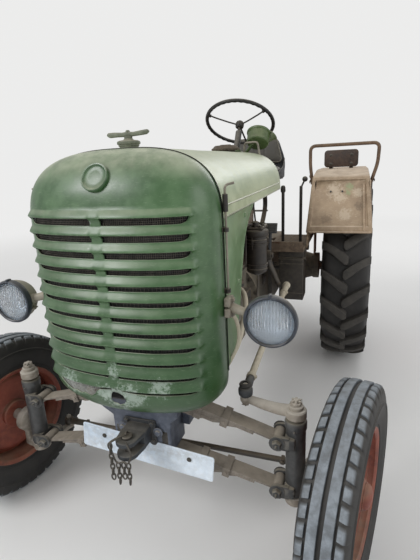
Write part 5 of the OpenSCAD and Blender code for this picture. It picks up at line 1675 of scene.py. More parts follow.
class TRACTOR_OT_knuckles(BuildStep):
    """Knuckles with their kingpin collars, stub axles and forged arms"""
    bl_idname = "tractor.knuckles"
    bl_label = "Knuckles"

    def knuckle(self, bm, arm):
        foot = 232
        lathe(bm, [(0, foot), (30, foot), (34, foot + 3), (34, foot + 30), (28, foot + 34),
                   (16, foot + 36), (16, 566), (32, 566), (34, 569), (34, 592), (31, 596),
                   (24, 597), (24, 608), (21, 611), (0, 611)], steps=48)
        block(bm, (0, -26, foot), (76, 26, foot + 32), 7, 3)
        block(bm, (44, -26, foot + 2), (76, 26, 392), 8, 3)
        lathe(bm, [(0, 40), (44, 40), (50, 44), (52, 52), (52, 76), (46, 80), (30, 82), (26, 90),
                   (22, 96), (22, 166), (0, 166)], (0, 0, 350), (1, 0, 0), 48)
        castle_nut(bm, (0, 0, 611), (0, 0, 1), 34, 17)
        for s in (1, -1):
            bolt(bm, (76, s * 34, 350), (1, 0, 0), 13, 5)
        block(bm, (-15, 0, foot), (15, 164, foot + 18), 5, 3)
        rod(bm, (0, 150, foot + 10), (0, 150, foot + 54), 9, segments=20, bevel=1)
        castle_nut(bm, (0, 150, foot + 49), (0, 0, 1), 20, 11)
        if arm:
            curve = softened([(-18, 0, 582), (-62, -9, 584), (-110, -13, 588), (-150, -8, 588),
                              (-180, 0, 584)], 7)
            sweep(bm, curve, lambda t: 21 - 8 * t, 18, 0.66)
            lathe(bm, [(9.5, 574), (18, 575), (19, 579), (19, 590), (17, 593), (9.5, 593)],
                  (-180, 0, 0), closed=True, steps=32)
            rod(bm, (-180, 0, 572), (-180, 0, 640), 9, segments=20, bevel=1.5)
            castle_nut(bm, (-180, 0, 574), (0, 0, -1), 24, 14)

    def build(self, sizes):
        for side, s in SIDES.items():
            bm = new_bm()
            self.knuckle(bm, arm=s > 0)
            settle(bm, knuckle_place(s))
            finish_piece(f"knuckle_forging_{side}", bm, "forged_pale", f"knuckle_{side}",
                         body=f"knuckle_{side}")


class TRACTOR_OT_linkage(BuildStep):
    """Tie rod, drag link, drop arm and their joints"""
    bl_idname = "tractor.linkage"
    bl_label = "Steering linkage"

    def build(self, sizes):
        back, aside = polar(150, PARKED_STEER)
        move = Matrix.Translation((aside, KINGPIN_Y + back, 0))
        bm = new_bm()
        x = KINGPIN_X
        rod(bm, (-x + 14, 0, 266), (x - 14, 0, 266), 11, segments=28)
        for s in (1, -1):
            lathe(bm, [(9.4 if s > 0 else 11.2, 252), (17, 252), (19, 255), (19, 277), (17, 280),
                       (9.4 if s > 0 else 11.2, 280)], (s * x, 0, 0), closed=True, steps=36)
            rod(bm, (s * (x - 20), 0, 266), (s * (x - 90), 0, 266), 14.5, 12.5, segments=28,
                bevel=1)
            bolt(bm, (s * (x - 96), -12, 266), (0, -1, 0), 13, 8)
            block(bm, (s * (x - 96) - 7, -15, 254), (s * (x - 96) + 7, 15, 278), 3)
        settle(bm, move)
        finish_piece("tie_rod_bar", bm, "oily_grey", "tie_rod", body="tie_rod")

        end = Vector((360.8, 51.8, 613))
        rear = Vector((364, 956, 722))
        way = (rear - end).normalized()
        bm = new_bm()
        rod(bm, end + way * 70, rear - way * 16, 12.6, segments=28)
        ball(bm, rear, 20.5, 28)
        rod(bm, rear - way * 84, rear - way * 18, 14, 17, segments=28, bevel=1)
        for p in (end + way * 84, rear - way * 90):
            lathe(bm, [(12, -9), (16.5, -9), (17.5, -7), (17.5, 7), (16.5, 9), (12, 9)], p, way,
                  28, closed=True)
            bolt(bm, p + Vector((14, 0, 0)), (1, 0, 0), 11, 7)
        grease_nipple(bm, end + Vector((0, 0, 18)), (0.4, 0, 1))
        finish_piece("drag_link_rod", bm, "cream", "drag_link", body="drag_link")
        bm = new_bm()
        lathe(bm, [(9.4, -17), (20, -17), (24, -12), (25, -4), (25, 8), (21, 15), (9.4, 18)], end,
              closed=True, steps=40)
        rod(bm, end + way * 20, end + way * 78, 17, 14, segments=28, bevel=1)
        finish_piece("drag_link_socket", bm, "jaw_grey", body="drag_link")
        bm = new_bm()
        boot(bm, end + Vector((0, 0, -15)), end + Vector((0, 0, -22)), 17)
        lathe(bm, [(10, 0), (19, 2), (22, 8), (19, 13), (10, 14)], end + Vector((0, 0, 17)),
              closed=True, steps=32)
        finish_piece("drag_link_boot", bm, "rubber", body="drag_link")

        bm = new_bm()
        top, low = Vector((262, 980, 880)), Vector((324, 956, 722))
        rod(bm, (160, 980, 880), (276, 980, 880), 15, segments=28)
        lathe(bm, [(0, -8), (24, -8), (28, -4), (28, 12), (24, 16), (0, 16)], top, (1, 0, 0), 36)
        path = softened([top + Vector((3, 0, -8)), (270, 976, 834), (300, 966, 772), low], 8)
        sweep(bm, path, lambda t: 19 - 6 * t, 20, 0.62)
        lathe(bm, [(0, -9), (13, -9), (15, -6), (15, 6), (13, 9), (0, 9)], low, (1, 0, 0), 32)
        bolt(bm, top + Vector((14, 0, 0)), (1, 0, 0), 30, 13)
        finish_piece("drop_arm_forging", bm, "oily_grey", "drop_arm", body="drop_arm")


class TRACTOR_OT_towing(BuildStep):
    """Front jaw, its pin with the retaining chain, and the blank plate"""
    bl_idname = "tractor.towing"
    bl_label = "Front towing gear"

    def build(self, sizes):
        bm = new_bm()
        block(bm, (-45, -112, 436), (45, -52.4, 498), 5, 3)
        block(bm, (-62, -62, 420), (62, -52.4, 512), 4)
        for z in (434, 482):
            lip = [(45, 46)] + [polar(38, -12 * k) for k in range(16)] + [(-45, 46)]
            slab(bm, lip, Matrix.Translation((0, -150, z)), 18, 4, 3)
        bolts(bm, (-50, 50), (-62,), (430, 502), (0, -1, 0), 15, 9)
        finish_piece("towing_jaw", bm, "jaw_grey", "tow_jaw", slot="rust")
        bm = new_bm()
        lathe(bm, [(0, 410), (9, 410), (12, 414), (12, 500), (18, 501), (20, 504), (20, 509),
                   (17, 512), (0, 513)], (0, -150, 0), steps=36)
        sweep(bm, softened([(0, -150, 508), (-14, -168, 513), (-34, -192, 508), (-36, -198, 500)],
                           5), 4, 10)
        ring(bm, (0, -150, 513), (1, 0, 0), 8, 2.6, 24, 8)
        for x, top, links in ((-36, 496, 7), (-12, 424, 4), (8, 428, 3), (26, 430, 4)):
            for k in range(links):
                link_at = Matrix.Translation((x + ragged(Vector((k, x, 0)), 1.3, 1.5).x, -198,
                                              top - 20 * k)) @ spun(90 * (k % 2) + 14, "Z")
                oval = [link_at @ Vector((6.5 * c, 0, 12.5 * d))
                        for c, d in (polar(1, 18 * i) for i in range(20))]
                sweep(bm, oval + [oval[0]], 2.6, 8, capped=False)
        sweep(bm, softened([(-36, -198, 500), (-24, -200, 452), (-12, -199, 436), (8, -197, 442),
                            (26, -199, 442), (34, -190, 470), (14, -182, 508)], 5), 3, 8)
        finish_piece("jaw_pin_and_chain", bm, "chain_grey", "tow_pin")
        bm = new_bm()
        turn = Matrix.Translation((8, -53.2, 378)) @ spun(5.5, "Y") @ standing(0, -1)
        rounded_slab(bm, [(-262, -52), (262, -52), (262, 50), (-262, 50)], 9, 4, 2.2)
        lifted = [f for f in bm.faces if f.normal.z > 0.9]
        bmesh.ops.inset_region(bm, faces=lifted, thickness=4, depth=0.9, use_even_offset=True)
        bmesh.ops.inset_region(bm, faces=lifted, thickness=3, depth=-2.0, use_even_offset=True)
        for v in bm.verts:
            v.co.z += 2.2 * noise.noise(Vector((v.co.x * 0.01, v.co.y * 0.02, 3)))
        shift(bm, turn)
        finish_piece("blank_plate", bm, "plate_white", "number_plate")
        bm = new_bm()
        for x in (-170, 170):
            bolt(bm, turn @ Vector((x, 14, 2)), (0, -1, 0), 9, 4)
            lathe(bm, [(0, 1), (7, 1), (8.5, 0), (0, 0)], turn @ Vector((x, 14, 1.6)), (0, -1, 0),
                  24)
        for x in (-90, 90):
            block(bm, (x - 12, -52.2, 372), (x + 12, -48, 470), 1.5)
        finish_piece("plate_fixings", bm, "chain_grey")


class TRACTOR_OT_headlights(BuildStep):
    """Headlights: bowls, rims, reflectors, bulbs, ribbed lenses and their clamps"""
    bl_idname = "tractor.headlights"
    bl_label = "Headlights"

    # The lamp's outlines are drawn a little large and brought down to this share.
    size = 0.92

    def turned(self, bm, profile, steps, closed=False):
        lathe(bm, [(r * self.size, h * self.size) for r, h in profile], LAMP_AT, (0, -1, 0), steps,
              closed)

    def lens_glass(self, bm):
        """Domed glass with upright ribs above and small prisms below, on its inner face."""
        rings, steps = 34, 144
        for back in (False, True):
            table = grid(bm, steps + 1, rings)
            for j, row in enumerate(table):
                r = 77.5 * max(0.004, j / (rings - 1))
                for i, v in enumerate(row):
                    a = 2 * math.pi * i / steps
                    x, z = r * math.cos(a), r * math.sin(a)
                    rib = 0.5 + 0.5 * math.cos(x * 0.72)
                    if z < -24:
                        rib *= 0.5 + 0.5 * math.cos(z * 0.72)
                    depth = 26 - 18 * (r / 77.5) ** 2
                    if back:
                        depth -= 3 + 2.2 * rib * smooth01((77.5 - r) / 8)
                    v.co = LAMP_AT + self.size * Vector((x, -depth, z))
        weld(bm, 0.06)
        open_rims = [e for e in bm.edges if e.is_boundary]
        bmesh.ops.bridge_loops(bm, edges=open_rims)
        face_out(bm)

    def build(self, sizes):
        def both(shape, name, *look):
            bm = new_bm()
            shape(bm)
            mirrored(bm)
            finish_piece(name, bm, *look)

        def bowl(bm):
            self.turned(bm, [(0, -88), (16, -87.5), (34, -84), (50, -76), (60, -66), (70, -52),
                       (77, -34), (81, -12), (82, 0), (78, 2), (70, -20), (40, -60), (0, -70)],
                        72)
            self.turned(bm, [(0, -94), (9, -94), (11, -91), (11, -86), (0, -84)], 24)
            joint = LAMP_AT + Vector((-66, 22, 6))
            rod(bm, joint, (BONNET_HW + 16, -18, 943), 13.5, 15, segments=28, bevel=1.5)
            ball(bm, joint, 19, 24)
            for s in (1, -1):
                block(bm, (BONNET_HW + 1, -40, 944 + s * 17 - 15),
                      (BONNET_HW + 22, 4, 944 + s * 17 + 14), 4, 3)
            bolts(bm, (BONNET_HW + 22,), (-18,), (922, 966), (1, 0, 0), 14, 8)
            rod(bm, joint + Vector((0, 0, -16)), joint + Vector((0, 0, -34)), 7, segments=18,
                bevel=1)
            bolt(bm, joint + Vector((0, 0, -32)), (0, 0, -1), 15, 9)

        def rim(bm):
            self.turned(bm, [(76, 4), (80, -4), (85, -6), (87, -2), (87, 10), (84, 17),
                             (79, 19), (75.5, 15.5), (76.5, 11)], 84, True)
            block(bm, LAMP_AT + Vector((-5, -16, 74)), LAMP_AT + Vector((5, 2, 84)), 1.5)
            bolt(bm, LAMP_AT + Vector((0, -15, 79)), (0, -1, 0), 7, 4, False)

        def mirror_bowl(bm):
            self.turned(bm, [(9, -60), (20, -57), (40, -47), (58, -30), (70, -10), (76, 6),
                             (77.6, 7), (72, -12), (60, -33), (42, -50), (20, -60.5),
                             (9, -62)], 64, True)
            self.turned(bm, [(0, -34), (6, -36), (9, -42), (7, -50), (5, -62), (0, -62)], 24)

        both(bowl, "lamp_bowls", "lamp_shell", "headlights")
        both(rim, "lamp_rims", "lamp_rim")
        both(mirror_bowl, "lamp_reflectors", "reflector")
        both(self.lens_glass, "lamp_lenses", "lens_glass", "headlight_lenses")

        bm = new_bm()
        sweep(bm, softened([(326, 10, 905), (334, 44, 880), (338, 66, 830), (332, 70, 772),
                            (306, 56, 712), (276, 40, 668)], 7), 7, 12, 0.5)
        for p in ((326, 8, 906), (275, 40, 668)):
            ball(bm, p, 10, 16)
        mirrored(bm)
        finish_piece("lamp_stays", bm, "cream")


# Engine bay and chassis details that are laid over the kept castings

def pipe(bm, points, radius, bend=20, segments=12):
    return sweep(bm, rounded_path(points, bend), radius, segments)


class TRACTOR_OT_engine(BuildStep):
    """Cooling fins, head bolts, fuel lines, filter and pipes of the engine"""
    bl_idname = "tractor.engine"
    bl_label = "Engine details"

    def build(self, sizes):
        bm = new_bm()
        for y0 in (300, 620):
            for k in range(8):
                y = y0 + 12 + k * 34
                block(bm, (153, y - 1, 898), (207, y + 15, 1132), 4)
                block(bm, (-168, y, 1004), (-154, y + 12, 1086), 2)
            block(bm, (96, y0 + 10, 1091), (207, y0 + 266, 1106), 4)
            block(bm, (-96, y0 + 18, 1092), (96, y0 + 262, 1153), 14, 4)
            bolts(bm, (-78, 78), (y0 + 40, y0 + 140, y0 + 240), (1152,), (0, 0, 1), 15, 8)
            for x, z in ((-130, 1090), (130, 1104)):
                bolts(bm, (x,), (y0 + 30, y0 + 140, y0 + 250), (z,), (0, 0, 1), 19, 12)
        finish_piece("head_covers", bm, "finned_iron")

        bm = new_bm()
        block(bm, (148, 558, 618), (217, 762, 762), 10, 3)
        block(bm, (217, 580, 650), (222, 740, 720), 3)
        bolts(bm, (222,), (586, 734), (656, 714), (1, 0, 0), 9, 4, False)
        for y in (600, 680):
            lathe(bm, [(16, 0), (16, 10), (12, 12), (12, 30), (15, 32), (15, 46), (9, 48),
                       (9, 60), (0, 62)], (185, y, 760), steps=24)
            pipe(bm, [(185, y, 818), (185, y, 868), (226, y + 24, 900), (226, y + 40, 1060),
                      (150, y + 40, 1124), (96, y + 40, 1124)], 3.6, 26, 10)
        lathe(bm, [(0, 0), (34, 0), (38, 4), (38, 60), (34, 66), (0, 66)], (185, 560, 690),
              (0, -1, 0), 32)
        bolts(bm, (150,), (330, 400, 470, 520), (600,), (1, 0, 0), 15, 8)
        for s in (1, -1):
            bolts(bm, (s * 142,), range(300, 900, 75), (570,), (s, 0, 0), 13, 6)
            block(bm, (s * 147 - 9, 275, 548), (s * 147 + 9, 925, 566), 3)
        lathe(bm, [(0, 0), (30, 0), (34, 6), (34, 90), (30, 98), (16, 104), (16, 118), (0, 120)],
              (184, 470, 780), (0, 0, 1), 32)
        block(bm, (150, 455, 850), (182, 485, 880), 3)
        pipe(bm, [(184, 470, 900), (184, 470, 930), (214, 540, 930), (214, 560, 760)], 4.5)
        pipe(bm, [(214, 740, 700), (240, 780, 700), (240, 860, 900), (200, 900, 1190)], 4.5)
        finish_piece("pump_and_lines", bm, "oily_grey")

        bm = new_bm()
        sweep(bm, softened([(148, 440, 868), (214, 436, 868), (266, 404, 854), (296, 330, 826),
                            (304, 250, 776), (296, 180, 712), (262, 120, 656), (235, 74, 628)],
                           8), 11, 16)
        for p, d in (((160, 440, 868), (1, 0, 0)), ((237, 77, 630), (-0.5, -0.8, -0.5))):
            lathe(bm, [(11, -9), (16, -9), (16, 9), (11, 9)], p, d, 24, closed=True)
        finish_piece("coolant_pipe", bm, "cream")

        bm = new_bm()
        middle = Vector((264, 690, 0))
        lathe(bm, [(0, 850), (14, 850), (20, 855), (30, 858), (47, 868), (49, 872), (49, 884),
                   (47, 886), (47, 1006), (50, 1008), (50, 1022), (47, 1024), (47, 1036),
                   (54, 1040), (55.5, 1044), (55.5, 1060), (52, 1066), (30, 1070), (20, 1072),
                   (20, 1086), (14, 1090), (0, 1090)], middle, steps=64)
        for k in range(3):
            turn = spun(120 * k + 20, "Z", 3)
            foot = middle + turn @ Vector((53, 0, 0))
            pipe(bm, [foot + Vector((0, 0, 980)), foot + Vector((0, 0, 1046)),
                      foot * 0.9 + Vector((26.4, 69, 1068))], 1.8, 6, 8)
            block(bm, foot + Vector((-5, -5, 1000)), foot + Vector((5, 5, 1026)), 2)
        pipe(bm, [(264, 720, 1053), (264, 924, 1053), (110, 924, 1053), (110, 898, 1053)], 13, 40,
             20)
        block(bm, (204, 672, 956), (222, 708, 1004), 3)
        for z in (900, 1000):
            lathe(bm, [(47, -6), (51, -6), (51, 6), (47, 6)], middle + Vector((0, 0, z)),
                  steps=48, closed=True)
        bolt(bm, (222, 690, 968), (1, 0, 0), 13, 6)
        block(bm, (228, 652, 1064), (300, 728, 1080), 5, 3)
        bolts(bm, (240, 288), (664, 716), (1080,), (0, 0, 1), 13, 9)
        lathe(bm, [(0, 0), (10, 0), (12, 4), (12, 12), (17, 14), (17, 26), (8, 30), (0, 30)],
              (264, 668, 1078), (0, 0, 1), 24)
        pipe(bm, [(264, 668, 1096), (232, 640, 1096), (196, 600, 1120)], 5, 14)
        finish_piece("air_filter", bm, "filter_dark", "air_cleaner")

        bm = new_bm()
        block(bm, (-216, 328, 928), (-149, 862, 987), 16, 3)
        bolts(bm, (-190,), (370, 560, 640, 820), (987,), (0, 0, 1), 15, 9)
        pipe(bm, [(-190, 780, 940), (-205, 820, 760), (-250, 920, 600), (-262, 1070, 560)], 26,
             90, 28)
        lathe(bm, [(26, 0), (40, 4), (58, 10), (62, 18), (63, 24), (61, 30), (61, 428), (63, 434),
                   (62, 442), (56, 450), (36, 456), (25, 460)], (-262, 1060, 560), (0, 1, 0), 56)
        pipe(bm, [(-262, 1512, 560), (-262, 1644, 560), (-262, 1702, 518)], 24, 40, 28)
        for y in (1130, 1430):
            lathe(bm, [(61, -9), (64.5, -9), (64.5, 9), (61, 9)], (-262, y, 560), (0, 1, 0), 48,
                  closed=True)
            block(bm, (-272, y - 9, 620), (-252, y + 9, 646), 2)
        finish_piece("silencer", bm, "exhaust_rust", "exhaust")


class TRACTOR_OT_drivetrain(BuildStep):
    """Flange bolts, covers and gaiters of the gearbox, rear axle, steering box and drawbar"""
    bl_idname = "tractor.drivetrain"
    bl_label = "Gearbox and axle details"

    def build(self, sizes):
        bm = new_bm()
        for k in range(16):
            x, z = polar(203, 22.5 * k + 11)
            bolt(bm, (x, 930, 640 + z), (0, -1, 0), 13, 7)
        for s in (1, -1):
            x = s * 150
            bolts(bm, (x,), (1215, 1330, 1445, 1540), (470, 790), (s, 0, 0), 15, 8)
            lathe(bm, [(0, 7), (40, 7), (48, 3), (50, 0), (0, 0)], (x, 1380, 640), (s, 0, 0), 48)
            for k in range(6):
                y, z = polar(42, 60 * k)
                bolt(bm, (x, 1380 + y, 640 + z), (s, 0, 0), 9, 9, False)
            for k in range(12):
                y, z = polar(156, 30 * k)
                bolt(bm, (s * 200, REAR_Y + y, REAR_R + z), (s, 0, 0), 15, 9)
            for k in range(6):
                y, z = polar(84, 60 * k)
                bolt(bm, (s * 429, REAR_Y + y, REAR_R + z), (-s, 0, 0), 11, 6, False)
            bolts(bm, (s * 100,), (1260, 1480), (836,), (0, 0, 1), 13, 7)
            bolt(bm, (s * 150, 1700, 830), (0, 0, 1), 19, 10)
        block(bm, (-176, 1535, 428), (176, 1552, 832), 4)
        for k in range(10):
            x, z = polar(70, 36 * k)
            bolt(bm, (x, 2082, 620 + z), (0, 1, 0), 11, 6)
        bolts(bm, (-150, 150), (2060,), (460, 560, 680, 800), (0, 1, 0), 15, 8)
        block(bm, (-120, 2060, 735), (120, 2066, 815), 4)
        lathe(bm, [(16, 0), (22, 0), (22, 8), (16, 8)], (0, 2082, 620), (0, 1, 0), 40,
              closed=True)
        # Steering box lid, its bolts and the column's gland.
        block(bm, (-62, 958, 1038), (122, 1172, 1048), 5)
        bolts(bm, (-48, 30, 108), (972, 1158), (1048,), (0, 0, 1), 11, 6)
        for y in (970, 1160):
            for x in (-76, 136):
                block(bm, (x - 12, y - 14, 856), (x + 12, y + 14, 868), 3)
                bolt(bm, (x, y, 868), (0, 0, 1), 17, 9)
        finish_piece("casting_bolts", bm, "oily_grey")
        bm = new_bm()
        foot = WHEEL_TOP - COLUMN_UP * 560
        lathe(bm, [(19.5, 0), (30, 2), (32, 8), (30, 14), (24, 18), (24, 34), (19.5, 36)], foot,
              COLUMN_UP, 40)
        entry = WHEEL_TOP - COLUMN_UP * 284
        lathe(bm, [(19.5, -14), (31, -12), (36, -6), (36, 6), (30, 14), (24, 20), (19.5, 22)],
              entry, COLUMN_UP, 40)
        finish_piece("column_gaiters", bm, "rubber")
        bm = new_bm()
        for s in (1, -1):
            for y, z in ((-20, -165), (80, -165), (120, -170)):
                bolt(bm, (s * 250, REAR_Y + y, REAR_R + z), (s, 0, 0), 19, 10)
            bolts(bm, (s * 239,), (REAR_Y + 500, REAR_Y + 550), (REAR_R - 175,), (0, 0, 1), 17, 9)
        bolts(bm, (-55, 55), (REAR_Y + 224,), (REAR_R + 106, REAR_R + 174), (0, 1, 0), 15, 8)
        finish_piece("drawbar_fixings", bm, "rust")


# Driver's place

# The two upright levers, and the slots in the foot plate that they pass through.
LEVER_X = (281, 387)


class TRACTOR_OT_platform(BuildStep):
    """Foot plates with their pattern of studs, the brackets and the toolbox with its lid"""
    bl_idname = "tractor.platform"
    bl_label = "Platform and toolbox"

    def build(self, sizes):
        bm = new_bm()
        for s in (1, -1):
            before = set(bm.verts)
            block(bm, (205, 1150, 862), (428, 1700, 868), 1.5)
            block(bm, (205, 1150, 866), (428, 1156, 920), 2)
            block(bm, (205, 1152, 914), (428, 1166, 920), 2)
            block(bm, (422, 1150, 868), (428, 1700, 876), 1.5)
            block(bm, (150.5, 1240, 780), (415, 1270, 861.5), 3)
            block(bm, (175.5, 1600, 780), (415, 1640, 861.5), 3)
            for i in range(8):
                for j in range(13):
                    x, y = 228 + 25 * i + (j % 2) * 12.5, 1420 + 21 * j
                    if x < 420:
                        rod(bm, (x, y, 867), (x, y, 869.6), 5, 3.6, 8)
            bolts(bm, (230, 400), (1255, 1620), (868,), (0, 0, 1), 13, 6)
            for x in LEVER_X:
                for y in (1333, 1403):
                    block(bm, (x - 20, y - 3, 868), (x + 20, y + 3, 871), 1)
                for side in (x - 17, x + 17):
                    block(bm, (side - 3, 1336, 868), (side + 3, 1400, 871), 1)
            if s < 0:
                made = since(bm, before)
                shift(bm, Matrix.Diagonal((-1, 1, 1, 1)), made)
                bmesh.ops.reverse_faces(bm, faces=faces_of(made))
        finish_piece("foot_plates", bm, "footplate", "platform")
        bm = new_bm()
        block(bm, (284, 1190, 562), (426, 1335, 822), 5, 3)
        block(bm, (281, 1187, 824), (429, 1338, 861.5), 5, 3)
        block(bm, (281, 1187, 806), (429, 1338, 812), 2)
        rod(bm, (282, 1192, 823), (282, 1334, 823), 4, segments=14, bevel=0.6)
        block(bm, (426, 1246, 790), (431, 1280, 846), 1.5)
        ring(bm, (432, 1263, 800), (1, 0, 0), 9, 2, 24, 8)
        for z in (600, 780):
            block(bm, (284, 1188, z), (426, 1337, z + 5), 1.5)
        bolts(bm, (300, 410), (1190,), (585, 795), (0, -1, 0), 8, 4, False)
        finish_piece("tool_box", bm, "toolbox")


class TRACTOR_OT_controls(BuildStep):
    """Upright levers, pedals with ribbed pads and the gear lever"""
    bl_idname = "tractor.controls"
    bl_label = "Levers and pedals"

    def build(self, sizes):
        bm = new_bm()
        for x, top in zip(LEVER_X, (1186, 1218)):
            block(bm, (x - 8, 1346, 705), (x + 8, 1371, top), 3)
            lathe(bm, [(0, -9), (20, -9), (22, -6), (22, 6), (20, 9), (0, 9)], (x, 1358, 718),
                  (1, 0, 0), 36)
            block(bm, (x - 9, 1342, 840), (x + 9, 1375, 852), 2)
        lathe(bm, [(7, 1180), (13, 1184), (15, 1192), (14, 1212), (9, 1222), (0, 1224)],
              (LEVER_X[0], 1358, 0), steps=28)
        rod(bm, (LEVER_X[1], 1358, 1208), (407, 1352, 1250), 5, segments=14)
        ball(bm, (410, 1350, 1257), 16, 24)
        rod(bm, (150.5, 1358, 718), (402, 1358, 718), 11, segments=24, bevel=1)
        castle_nut(bm, (398, 1358, 718), (1, 0, 0), 22, 12)
        sweep(bm, softened([(0, 1330, 872), (0, 1338, 930), (6, 1366, 1030), (20, 1400, 1120)], 8),
              8, 16)
        lathe(bm, [(0, 22), (11, 20), (19, 11), (21, 2), (18, -9), (10, -16), (8, -22), (0, -22)],
              (20, 1402, 1128), (0.15, 0.3, 1), 32)
        lathe(bm, [(8, 34), (15, 30), (17, 24), (24, 20), (27, 12), (34, 8), (36, 0), (8, 0)],
              (0, 1330, 872), (0, 0.1, 1), 36)
        finish_piece("hand_levers", bm, "lever_black", "pedals_and_levers")
        bm = new_bm()
        for s in (1, -1):
            rod(bm, (s * 150.5, 1215, 770), (s * 242, 1215, 770), 12, segments=24, bevel=1)
            lathe(bm, [(0, -14), (20, -14), (22, -10), (22, 10), (20, 14), (0, 14)],
                  (s * 232, 1215, 770), (s, 0, 0), 32)
            sweep(bm, softened([(s * 232, 1215, 770), (s * 236, 1168, 806), (s * 242, 1126, 870),
                                (s * 250, 1112, 1000)], 8), 10, 16, 0.8)
            tilt = Matrix.Translation((s * 250, 1108, 1004)) @ spun(60, "X")
            made = block(bm, (-38, -28, -6), (38, 32, 4), 4, 3)
            for k in range(6):
                made += block(bm, (-33, -22 + 9.5 * k, 3.5), (33, -18 + 9.5 * k, 6.5), 1)
            shift(bm, tilt, [v for v in made if v.is_valid])
        finish_piece("foot_pedals", bm, "jaw_grey")


class TRACTOR_OT_steering_wheel(BuildStep):
    """Steering wheel: rim with finger grips, three spokes and a nut on the hub"""
    bl_idname = "tractor.steering_wheel"
    bl_label = "Steering wheel"

    def build(self, sizes):
        place = Matrix.Translation(WHEEL_TOP) @ spun(-COLUMN_LEAN, "X")
        wire = sizes.rim_wire * 1000
        bm = new_bm()
        count, around = 180, 16
        table = grid(bm, around + 1, count + 1)
        for j in range(count + 1):
            turn = 2 * math.pi * j / count
            grip = 0.5 + 0.5 * math.cos(36 * turn)
            for i in range(around + 1):
                a = 2 * math.pi * i / around
                r = wire - 2.2 * grip * smooth01(-math.sin(a) * 1.4)
                out = 204 + r * math.cos(a)
                table[j][i].co = (out * math.cos(turn), out * math.sin(turn), r * math.sin(a))
        weld(bm, 0.05)
        face_out(bm)
        settle(bm, place)
        finish_piece("steering_rim", bm, "black_plastic", "steering_wheel", body="steering_wheel",
                     smooth=50)
        bm = new_bm()
        for k in range(3):
            turn = spun(120 * k + 90, "Z", 3)
            sweep(bm, [turn @ Vector(p) for p in ((18, 0, -14), (70, 0, -13), (150, 0, -7),
                                                  (204, 0, 0))], 5.6, 14, 0.8)
            lathe(bm, [(6, 0), (9, 2), (9.5, 12), (6, 16)], turn @ Vector((182, 0, -3.5)),
                  turn @ Vector((1, 0, 0.13)), 20)
        lathe(bm, [(0, -34), (18, -34), (24, -28), (26, -20), (26, -4), (22, 2), (14, 4),
                   (0, 4)], steps=40)
        rod(bm, (0, 0, -86), (0, 0, -30), 9, segments=20)
        bolt(bm, (0, 0, 2), (0, 0, 1), 24, 12)
        settle(bm, place)
        finish_piece("steering_spokes", bm, "lever_black", body="steering_wheel")


class TRACTOR_OT_instruments(BuildStep):
    """Instrument drum with its bezel, plain dial and the flared switch beside it"""
    bl_idname = "tractor.instruments"
    bl_label = "Instruments"

    def build(self, sizes):
        place = Matrix.Translation((140, 1300, 1462)) @ spun(-34, "X")
        bm = new_bm()
        lathe(bm, [(0, 4), (48, 4), (60, 7), (64, 12), (64, 68), (68, 70), (70, 74), (70, 80),
                   (67, 84), (60, 85), (59, 80), (59, 74), (0, 74)], steps=64)
        for z in (16, 62):
            ring(bm, (0, 0, z), (0, 0, 1), 64, 1.3, 56, 6)
        settle(bm, place)
        clamp = WHEEL_TOP - COLUMN_UP * 200
        lathe(bm, [(19.4, -14), (27, -14), (28, -12), (28, 12), (27, 14), (19.4, 14)], clamp,
              COLUMN_UP, 40, closed=True)
        sweep(bm, softened([clamp + Vector((20, 0, 0)), clamp + Vector((54, 0, -12)),
                            (112, 1306, 1470)], 6), 9, 14)
        for s in (1, -1):
            bolt(bm, clamp + Vector((-26, 0, 0)) + COLUMN_UP * 7 * s, (-1, 0, 0), 10, 6)
        finish_piece("instrument_drum", bm, "pod_green", "instrument_pod")
        bm = new_bm()
        lathe(bm, [(0, 74.5), (59, 74.5), (59, 76), (0, 76)], steps=56)
        settle(bm, place)
        finish_piece("dial_plate", bm, "dial_face")
        bm = new_bm()
        for k in range(25):
            turn = spun(-120 + 10 * k, "Z")
            long = k % 4 == 0
            made = block(bm, (-1.2 if long else -0.6, 40 if long else 46, 76),
                         (1.2 if long else 0.6, 54, 76.6))
            shift(bm, turn, made)
        made = block(bm, (-1.2, -8, 77.4), (1.2, 36, 78.2))
        shift(bm, spun(66, "Z"), made)
        lathe(bm, [(0, 76), (5, 76), (5, 79), (0, 80)], steps=20)
        settle(bm, place)
        finish_piece("dial_scale", bm, "dial_marks")
        bm = new_bm()
        aside = place @ Matrix.Translation((52, 26, 46)) @ spun(42, "Y")
        lathe(bm, [(0, -4), (12, -4), (15.5, 0), (17, 6), (22, 22), (28, 36), (31, 42), (30.5, 45),
                   (26, 44), (20, 30), (0, 28)], steps=48)
        settle(bm, aside)
        finish_piece("side_horn", bm, "dark_green")


